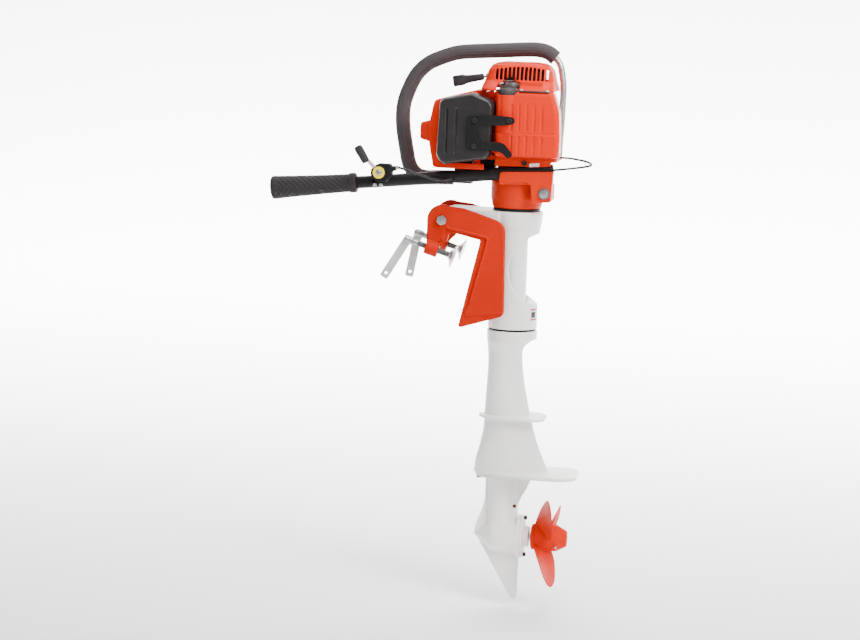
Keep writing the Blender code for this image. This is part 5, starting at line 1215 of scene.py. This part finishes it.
# cylinder shroud
shroud_side = rounded([(-79.0, 123.0, 3), (-89.0, 124.5, 6), (-97.0, 166.0, 2), (-97.0, 205.0, 2), (-90.0, 241.0, 8),
                       (-14.0, 261.3, 6), (1.0, 261.3), (1.0, 123.0)], 6)
shroud = raw("shroud_moulding", prism(shroud_side, -51.0, 51.0))
chin = [[(-97.0 - d, y * s, 185.0 + z * s2) for y, z in
         rounded([(-30, -20, 8), (30, -20, 8), (30, 20, 8), (-30, 20, 8)], 6)]
        for d, s, s2 in ((-6.0, 1.0, 1.0), (0.0, 1.0, 1.0), (20.5, 0.82, 0.72))]
join(shroud, loft(chin))
inner_side = rounded([(-70.0, 110.0), (-86.0, 127.5, 5), (-94.0, 166.0, 2), (-94.0, 205.0, 2), (-87.0, 238.5, 8),
                      (-14.0, 258.4, 5), (20.0, 258.4), (20.0, 110.0)], 6)
inner_chin = [[(-97.0 - d, y * s, 185.0 + z * s2) for y, z in
               rounded([(-27, -17, 6), (27, -17, 6), (27, 17, 6), (-27, 17, 6)], 6)]
              for d, s, s2 in ((-12.0, 1.0, 1.0), (17.5, 0.82, 0.72))]
window = rounded([(-79.0, 133.0, 8), (-79.0, 240.0, 10), (-18.0, 253.0, 6), (8.0, 253.0), (8.0, 133.0)], 6)
cut(shroud, prism(inner_side, -48.0, 48.0), loft(inner_chin), prism(window, -60.0, -40.0),
    box(-72, 10, 45, 60, 150, 225))
cast(shroud, 0.95, 3)
place(shroud, "orange_shell", "outboard", "cylinder_shroud")

piece("shroud_flank", prism(rounded([(1.6, 152.0, 2), (19.6, 152.0, 2), (19.6, 258.6, 2), (1.6, 258.6, 2)], 4), -38.5, -35.5),
      "orange_shell", body="outboard", width=0.6)
piece("under_deck_block", prism(rounded([(-9.0, 123.0, 2), (16.5, 119.0, 2), (16.5, 140.6, 1), (-9.0, 140.6, 1)], 4), -28.0, 14.0),
      "black_plain", body="outboard", width=0.8)

# ----------------------------------------------------------------- fuel tank
tank = raw("tank_moulding", loft([
    rect_ring(77.0, -54.0, 50.5, 18.5, 8.0, 149.4), rect_ring(77.0, -54.0, 54.0, 21.6, 9.0, 150.6), rect_ring(77.0, -54.0, 56.0, 23.0, 9.0, 153.0),
    rect_ring(77.0, -54.0, 56.5, 23.8, 9.0, 188.6), rect_ring(77.0, -54.0, 55.5, 22.8, 9.0, 189.4),
    rect_ring(77.0, -54.0, 55.5, 22.8, 9.0, 190.6),
    rect_ring(77.0, -54.0, 56.0, 23.4, 9.0, 191.4), rect_ring(76.0, -54.0, 55.0, 23.4, 9.0, 228.0),
    rect_ring(71.5, -54.0, 50.5, 22.8, 8.0, 256.0), rect_ring(71.5, -54.0, 49.0, 21.4, 8.0, 259.4), rect_ring(71.5, -54.0, 46.0, 18.0, 6.0, CASE_Z1)]))
join(tank, rod(17.8, (CAP[0], CAP[1], 190.0), (CAP[0], CAP[1], 257.0), 60))
cut(tank, rod(18.8, (CAP[0], CAP[1], 255.7), (CAP[0], CAP[1], 270.0), 60))
join(tank, rod(13.3, (CAP[0], CAP[1], 250.0), (CAP[0], CAP[1], 262.6), 48))


def groove(x, z0, z1, depth=1.5, wide=2.0, y=-77.6):
    """A shallow upright groove in the near face, square on its forward side."""
    ring0 = [(x - wide, y + depth), (x + wide * 0.2, y + depth), (x + wide * 1.5, y - 1.5), (x - wide, y - 1.5)]
    return loft([[(a, b, z0) for a, b in ring0], [(a, b, z1) for a, b in ring0]])


grooves = [groove(x, 193.5, 241.0) for x in (50.4, 63.0, 76.2, 89.4, 102.4)]
grooves += [groove(x, 146.0, 186.5) for x in (50.4, 63.0, 76.2, 89.4, 102.4)]
cut(tank, rod(10.0, (CAP[0], CAP[1], 200.0), (CAP[0], CAP[1], 270.0), 40), *grooves,
    loft([[(112.0, -90.0, 265.0), (140.0, -60.0, 265.0), (140.0, -90.0, 265.0)],
          [(118.5, -90.0, 225.0), (140.0, -71.0, 225.0), (140.0, -90.0, 225.0)],
          [(124.0, -90.0, 145.0), (140.0, -74.0, 145.0), (140.0, -90.0, 145.0)]]))
cast(tank, 0.95, 2)
place(tank, "orange_shell", "outboard", "fuel_tank")
piece("tank_strip", loft([[(x, y, 262.0) for x, y in rounded([(60.5, -76.2, 1), (113.2, -76.2, 1), (113.2, -66.0, 1), (60.5, -66.0, 1)], 3)],
                          [(x, y, 264.4) for x, y in rounded([(60.5, -76.2, 1), (113.2, -76.2, 1), (113.2, -66.0, 1), (60.5, -66.0, 1)], 3)]]),
      "cap_grey", body="outboard", width=0.3)
for i, x in enumerate((64.4, 109.0)):
    slot_screw(f"tank_strip_screw_{i}", (x, -72.2, 264.3), (0, -0.35, 0.94), 3.0, 2.0, "steel_turned", "outboard")
piece("fuel_cap_skirt", lathe([(0, 254.9), (9.4, 254.9), (9.4, 262.9), (14.6, 262.9), (14.6, 256.2), (17.2, 256.2), (17.2, 258.0),
                               (17.4, 258.6), (17.4, 262.0), (15.6, 265.4), (9.0, 267.6), (0, 268.0)],
                              (CAP[0], CAP[1], 0), (0, 0, 1), 96, 0.5,
                              wave=lambda t, h: 1.0 + (0.02 * math.cos(28 * t) if 258.5 < h < 262.5 else 0.0)),
      "cap_grey", "fuel_cap")
knob = raw("fuel_cap_wing", loft([rect_ring(CAP[0], CAP[1], 15.0, 3.8, 3.4, 264.2), rect_ring(CAP[0], CAP[1], 13.6, 3.6, 3.4, 268.0),
                                  rect_ring(CAP[0], CAP[1], 8.6, 4.0, 3.6, 271.0), rect_ring(CAP[0], CAP[1], 6.0, 4.2, 3.6, 273.2),
                                  rect_ring(CAP[0], CAP[1], 4.4, 3.2, 2.8, 274.0)]))
join(knob, lathe([(0, 266.0), (8.4, 266.0), (7.0, 269.4), (0, 270.0)], (CAP[0], CAP[1], 0), (0, 0, 1), 48, 0.6))
cast(knob, 0.5, 3)
place(knob, "cap_grey", "fuel_cap")
piece("fuel_cap_gasket", lathe([(13.5, 255.9), (17.9, 255.9), (17.9, 257.6), (13.5, 257.6)], (CAP[0], CAP[1], 0), (0, 0, 1), 72, 0.5),
      "rubber_dark", body="outboard")

# ------------------------------------------------------------- starter cover
cover = raw("starter_cover_moulding", loft([
    rect_ring(STEER_X - 0.5, -6.0, 64.2, 66.0, 26.0, COVER_Z0), rect_ring(STEER_X - 0.5, -5.8, 64.0, 65.2, 26.0, 265.0),
    rect_ring(STEER_X - 0.5, -5.0, 63.2, 62.0, 26.0, 268.0),
    rect_ring(STEER_X - 0.5, 0.0, 60.6, 47.0, 26.0, 279.0), rect_ring(STEER_X, 0.0, 56.0, 42.0, 24.0, 297.0),
    rect_ring(STEER_X, 0.0, 50.0, 37.0, 22.0, 305.0), rect_ring(STEER_X, 0.0, 42.0, 31.0, 20.0, 309.0), rect_ring(STEER_X, 0.0, 30.0, 22.0, 16.0, COVER_Z1)]))
hollow = loft([
    rect_ring(STEER_X - 0.5, -5.0, 60.8, 60.0, 24.0, COVER_Z0 - 2), rect_ring(STEER_X - 0.5, -3.0, 59.6, 56.0, 24.0, 267.0),
    rect_ring(STEER_X - 0.5, 0.0, 57.4, 43.8, 24.0, 279.0), rect_ring(STEER_X, 0.0, 52.8, 38.8, 22.0, 297.0),
    rect_ring(STEER_X, 0.0, 47.0, 34.0, 20.0, 303.0), rect_ring(STEER_X, 0.0, 30.0, 22.0, 14.0, 307.5)])
slots = []
for i in range(13):
    x = 15.1 + 7.2 * i
    top = 303.6 - 5.0 * ((x + 2.1 - 62.0) / 45.0) ** 2
    outline = rounded([(x, 280.3, 0.8), (x + 4.3, 280.3, 0.8), (x + 4.3, top, 1.6), (x, top, 1.6)], 4)
    slots.append(prism(outline, -60.0, 60.0))
join(cover, box(56.0, 99.0, -60.5, -44.0, 270.5, 279.0))
cut(cover, hollow, rod(20.5, (CAP[0], CAP[1], 250.0), (CAP[0], CAP[1], 300.0), 48), *slots,
    rod(3.2, (-40.0, ROPE_Y, 277.5), (40.0, ROPE_Y, 292.6), 32))
join(cover, rod(5.9, (STEER_X, 0, 283.5), (STEER_X, 0, 309.0), 40))
cast(cover, 0.75, 2)
place(cover, "orange_shell", "outboard", "starter_cover")
ROPE_DIR = Vector((-math.cos(math.radians(11.0)), 0, -math.sin(math.radians(11.0))))
ROPE_OUT = Vector((-4.2, ROPE_Y, 284.4))
# a black band set free inside the cover behind the vent slots: a dark sheet standing in for the shade inside the cover
piece("cover_slot_shade_sheet", loft([rect_ring(STEER_X - 1.0, 0.0, 43.0, 32.5, 22.0, z) for z in (279.5, 303.0)]),
      "black_plain", body="outboard", cuts=(rod(3.2, (-40.0, ROPE_Y, 277.5), (40.0, ROPE_Y, 292.6), 32),
                                            loft([rect_ring(STEER_X - 1.0, 0.0, 39.5, 29.0, 20.0, z) for z in (270.0, 310.0)])))
piece("starter_reel_disc", lathe([(6.4, 285.0), (24.5, 285.0), (24.5, 287.5), (REEL_R - 2.0, 288.5),
                                  (REEL_R - 2.0, 296.5), (24.5, 297.5), (24.5, 300.0), (6.4, 300.0)],
                                 (STEER_X, 0, 0), (0, 0, 1), 72, 0.4), "black_plain", "starter_reel")
neck = ROPE_OUT + ROPE_DIR * 4.8
up = Vector((0, 1, 0)).cross(ROPE_DIR)
rings = []
for d, hy, hz, r in ((0.0, 4.6, 4.6, 4.0), (0.8, 5.6, 5.6, 4.6), (12.0, 6.2, 6.2, 4.8), (22.0, 6.7, 6.7, 5.0), (30.0, 7.2, 7.3, 4.6), (34.0, 7.7, 7.9, 4.0),
                     (35.4, 8.5, 9.0, 3.0), (36.4, 8.8, 9.4, 2.8), (51.0, 9.0, 9.6, 2.8), (53.0, 8.6, 9.2, 2.8), (54.0, 7.4, 8.0, 2.5)):
    c = neck + ROPE_DIR * d
    rings.append([tuple(c + Vector((0, 1, 0)) * a + up * b) for a, b in
                  rounded([(hy, -hz, r), (hy, hz, r), (-hy, hz, r), (-hy, -hz, r)], 6)])
grip = raw("pull_grip", loft(rings))
cut(grip, rod(2.3, neck - ROPE_DIR * 5, neck + ROPE_DIR * 30.0, 24))
edged(grip, 0.0, sharp=50)
place(grip, "rubber_grip", "starter_grip", "starter_grip")
rope_a, rope_b = Vector((30.0, ROPE_Y, 291.1)), neck + ROPE_DIR * 29.0
line = [rope_a.lerp(rope_b, i / 60) for i in range(61)]
rope = raw("pull_rope", tube_along(line, 1.6, 18, lambda t, s: 1.0 + 0.09 * math.cos(3 * t + 44.0 * s)))
edged(rope, 0.0, sharp=70)
rope.data.materials.append(MATS["rubber_dark"])
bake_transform(rope)
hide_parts("starter_rope")
piece("rope_guide", lathe([(2.4, 0), (5.2, 0), (5.2, 1.2), (3.6, 2.6), (2.4, 2.6)], ROPE_OUT - ROPE_DIR * 2.2, ROPE_DIR, 40, 0.5),
      "black_plain", body="outboard")

# ------------------------------------------------------- muffler and bracket
def muffler_outline(r, inset=0.0, rim=False):
    pts = [(-63.0, 137.5, r), (13.0, 152.0, r), (15.4, 238.0, r), (-19.0, 251.5, r), (-71.0, 240.0, r), (-73.0, 150.0, r)]
    if rim:
        pts = [(-69.0, 131.0, r), (15.0, 145.0, r), (19.0, 243.0, r), (-17.0, 257.5, r), (-75.5, 245.0, r), (-79.0, 147.0, r)]
    if inset:
        k = 1.0 - inset
        pts = [((x + 29.0) * k - 29.0, (z - 195.0) * k + 195.0, q) for x, z, q in pts]
    return rounded(pts, 8)


muffler = raw("muffler_can", loft([[(x, y, z) for x, z in muffler_outline(r, k, rim)]
                                   for y, r, k, rim in ((-40.0, 12.0, 0.0, False), (-53.0, 12.0, 0.0, False), (-54.2, 12.0, 0.0, True),
                                                        (-78.5, 12.0, 0.0, True), (-82.5, 13.0, 0.010, True),
                                                        (-86.0, 14.0, 0.030, True), (-88.2, 14.0, 0.055, True), (-89.0, 14.0, 0.085, True))]))
cut(muffler, *[loft([[(x - 2.0, -91.5, z), (x + 2.0, -91.5, z), (x + 0.9, -86.2, z), (x - 0.9, -86.2, z)] for z in (152.0, 230.0)])
               for x in (-61.0, -45.0)])
seam = [Vector((x, -87.6, z)) for x, z in muffler_outline(12.0, 0.085, True)]
cut(muffler, tube_along(seam[2:] + seam[:2], 1.3, 12))
cast(muffler, 0.95, 2)
place(muffler, "black_sheet", "outboard", "muffler")
bracket_outline = rounded([(-26.0, 158.5, 7), (14.0, 160.0, 8), (36.0, 158.0, 18), (47.5, 147.0, 4), (57.0, 153.0, 6),
                           (38.0, 175.5, 18), (-4.0, 172.5, 10), (-4.0, 203.0, 5), (36.0, 203.5, 5),
                           (57.0, 207.0, 6), (57.0, 218.0, 6), (30.0, 220.5, 6), (-26.0, 217.0, 5)], 8)
strap = raw("muffler_strap", prism(bracket_outline, -92.4, -89.4))
join(strap, rod(5.6, (48.5, -90.0, 212.4), (48.5, -78.4, 212.4), 40),
     rod(5.6, (45.0, -90.0, 156.5), (45.0, -78.4, 156.5), 40))
edged(strap, 0.5, 3)
place(strap, "black_plain", "outboard", "muffler_bracket")
for i, (x, z) in enumerate(((-12.0, 211.0), (-12.0, 166.5), (48.0, 212.4))):
    cap_screw(f"strap_screw_{i}", (x, -92.3, z), (0, -1, 0), 4.2, 3.6, "black_sheet", "outboard")

# ----------------------------------------------- starboard side: air and fuel
piece("carburettor_body", loft([rect_ring(38.0, 43.0, 17.0, 14.6, 4.0, z) for z in (166.0, 204.0)]), "alloy_cast",
      "carburettor", voxel=0.8)
cleaner = raw("air_cleaner_cover", loft([
    [(x, y, z) for x, z in rounded([(4 + k, 152 + k, r), (82 - k, 152 + k, r), (82 - k, 232 - k, r), (4 + k, 232 - k, r)], 8)]
    for y, r, k in ((58.2, 14.0, 0.0), (82.0, 14.0, 0.0), (86.0, 15.0, 1.4), (88.6, 16.0, 3.8), (90.0, 17.0, 7.0))]))
cut(cleaner, *[loft([[(16.0, 88.4, z), (70.0, 88.4, z), (70.0, 92.0, z), (16.0, 92.0, z)] for z in (z0, z0 + 2.6)])
               for z0 in (168.0, 178.0, 188.0, 198.0, 208.0)])
cast(cleaner, 0.9, 2)
place(cleaner, "black_plain", "outboard", "air_cleaner")
piece("air_cleaner_knob", lathe([(0, 0), (8.5, 0), (8.5, 1.8), (7.6, 2.0), (0, 2.2)], (43.0, 88.4, 222.0), (0, 1, 0), 56, 0.8,
                                wave=lambda t, h: 1 + 0.03 * math.cos(14 * t)), "black_plain", body="outboard")
piece("coil_block", loft([rect_ring(84.0, 40.0, 13.0, 11.6, 3.0, z) for z in (226.0, 256.0)]), "black_plain",
      "ignition_coil", voxel=0.8)

# -------------------------------------------------------------- carry handle
handle_line = [(-64.0, 101.0), (-92.0, 100.0), (-116.0, 99.4), (-132.5, 105.5), (-144.0, 122.0), (-150.5, 150.0),
               (-156.0, 180.0), (-158.2, 205.0), (-156.6, 229.0), (-148.7, 254.5), (-135.2, 281.1),
               (-115.0, 301.0), (-89.6, 313.2), (-63.7, 321.7), (-37.0, 325.0), (-11.5, 326.8), (25.0, 329.4),
               (55.0, 331.6), (79.3, 332.0), (97.0, 327.8), (110.0, 318.6)]
rod_tail = [(118.4, 307.0), (122.4, 292.0), (125.6, 270.0), (125.8, 240.0), (124.6, 200.0), (123.2, 165.0),
            (123.2, 149.4)]
rod_head = [(-36.0, 101.4), (-50.0, 101.2)]


def in_plane(points):
    return [Vector((x, HANDLE_Y, z)) for x, z in points]


piece("carry_bar", tube_along(curve(in_plane(rod_head + handle_line + rod_tail), 8), HANDLE_ROD_R - 0.1, 40),
      "steel_rod", "carry_rod", sharp=60)


def flutes(t, s):
    return 1.0 + 0.022 * math.cos(18 * t) + 0.010 * math.cos(36 * t)


sleeve = curve(in_plane(handle_line), 8)
piece("carry_sleeve", tube_along(sleeve, HANDLE_SLEEVE_R - 0.3, 144, flutes), "rubber_sleeve", "carry_grip", sharp=60)
mount = raw("handle_block", box(-61.0, -29.0, 17.0, 44.0, 92.0, BASE_Z0 - 0.3))
cut(mount, rod(HANDLE_ROD_R + 0.4, (-80.0, HANDLE_Y, 101.45), (-34.5, HANDLE_Y, 101.45), 40),
    rod(HANDLE_SLEEVE_R + 1.0, (-80.0, HANDLE_Y, 101.2), (-59.0, HANDLE_Y, 101.2), 40))
cast(mount, 0.9, 3)
place(mount, "black_plain", "outboard", "handle_mount_front")
for name in ("drive_gear", "pinion_gear"):
    obj = frame["nodes"][name]
    obj.data.materials.clear()
    obj.data.materials.append(MATS["steel_turned"])

# ==================================================== floor and light
def plain(name, colour, rough):
    mat = bpy.data.materials.new(name)
    mat.use_nodes = True
    bsdf = mat.node_tree.nodes["Principled BSDF"]
    bsdf.inputs["Base Color"].default_value = (*colour, 1.0)
    bsdf.inputs["Roughness"].default_value = rough
    bsdf.inputs["Specular IOR Level"].default_value = 0.1
    return mat


rows = []
for i in range(49):
    y = -7.0 + 12.0 * i / 24 if i <= 24 else None
    if i <= 24:
        rows.append((y, -0.662))
    else:
        t = math.pi / 2 * (i - 24) / 16 if i <= 40 else math.pi / 2
        extra = 0.0 if i <= 40 else (i - 40) * 0.7
        rows.append((5.0 + 2.0 * math.sin(t), -0.662 + 2.0 * (1 - math.cos(t)) + extra))
verts = [(x, y, z) for y, z in rows for x in (-9.0, 9.0)]
faces = [(2 * i, 2 * i + 1, 2 * i + 3, 2 * i + 2) for i in range(len(rows) - 1)]
floor_mesh = bpy.data.meshes.new("floor")
floor_mesh.from_pydata(verts, [], faces)
floor_mesh.shade_smooth()
floor = bpy.data.objects.new("floor", floor_mesh)
scene.collection.objects.link(floor)
floor_mesh.materials.append(plain("floor_pale", (0.90, 0.90, 0.90), 0.9))

world = bpy.data.worlds.new("studio")
scene.world = world
world.use_nodes = True
world.node_tree.nodes["Background"].inputs["Color"].default_value = (1.0, 1.0, 1.0, 1.0)
world.node_tree.nodes["Background"].inputs["Strength"].default_value = 0.36


def lamp(name, place_at, target, size, power, size_y=None, spread=180.0):
    data = bpy.data.lights.new(name, "AREA")
    data.shape = "RECTANGLE"
    data.size = size
    data.size_y = size_y or size
    data.energy = power
    data.spread = math.radians(spread)
    obj = bpy.data.objects.new(name, data)
    scene.collection.objects.link(obj)
    aim(obj, place_at, target)
    return obj


lamp("key", (2.5, -2.3, 1.9), (0.0, 0.0, -0.1), 1.3, 205.0, 1.7)
lamp("fill", (-2.8, -2.6, 1.0), (0.0, 0.0, -0.1), 2.0, 19.0, 2.4)
lamp("backdrop", (0.0, 4.2, 3.6), (0.0, 4.7, -0.6), 10.0, 2350.0, 5.4, 96.0)
lamp("top", (0.4, -0.9, 2.6), (0.0, 0.0, 0.0), 1.3, 88.0)
lamp("rear", (-1.8, 2.4, 1.6), (0.0, 0.0, -0.1), 1.6, 22.0, 1.6)
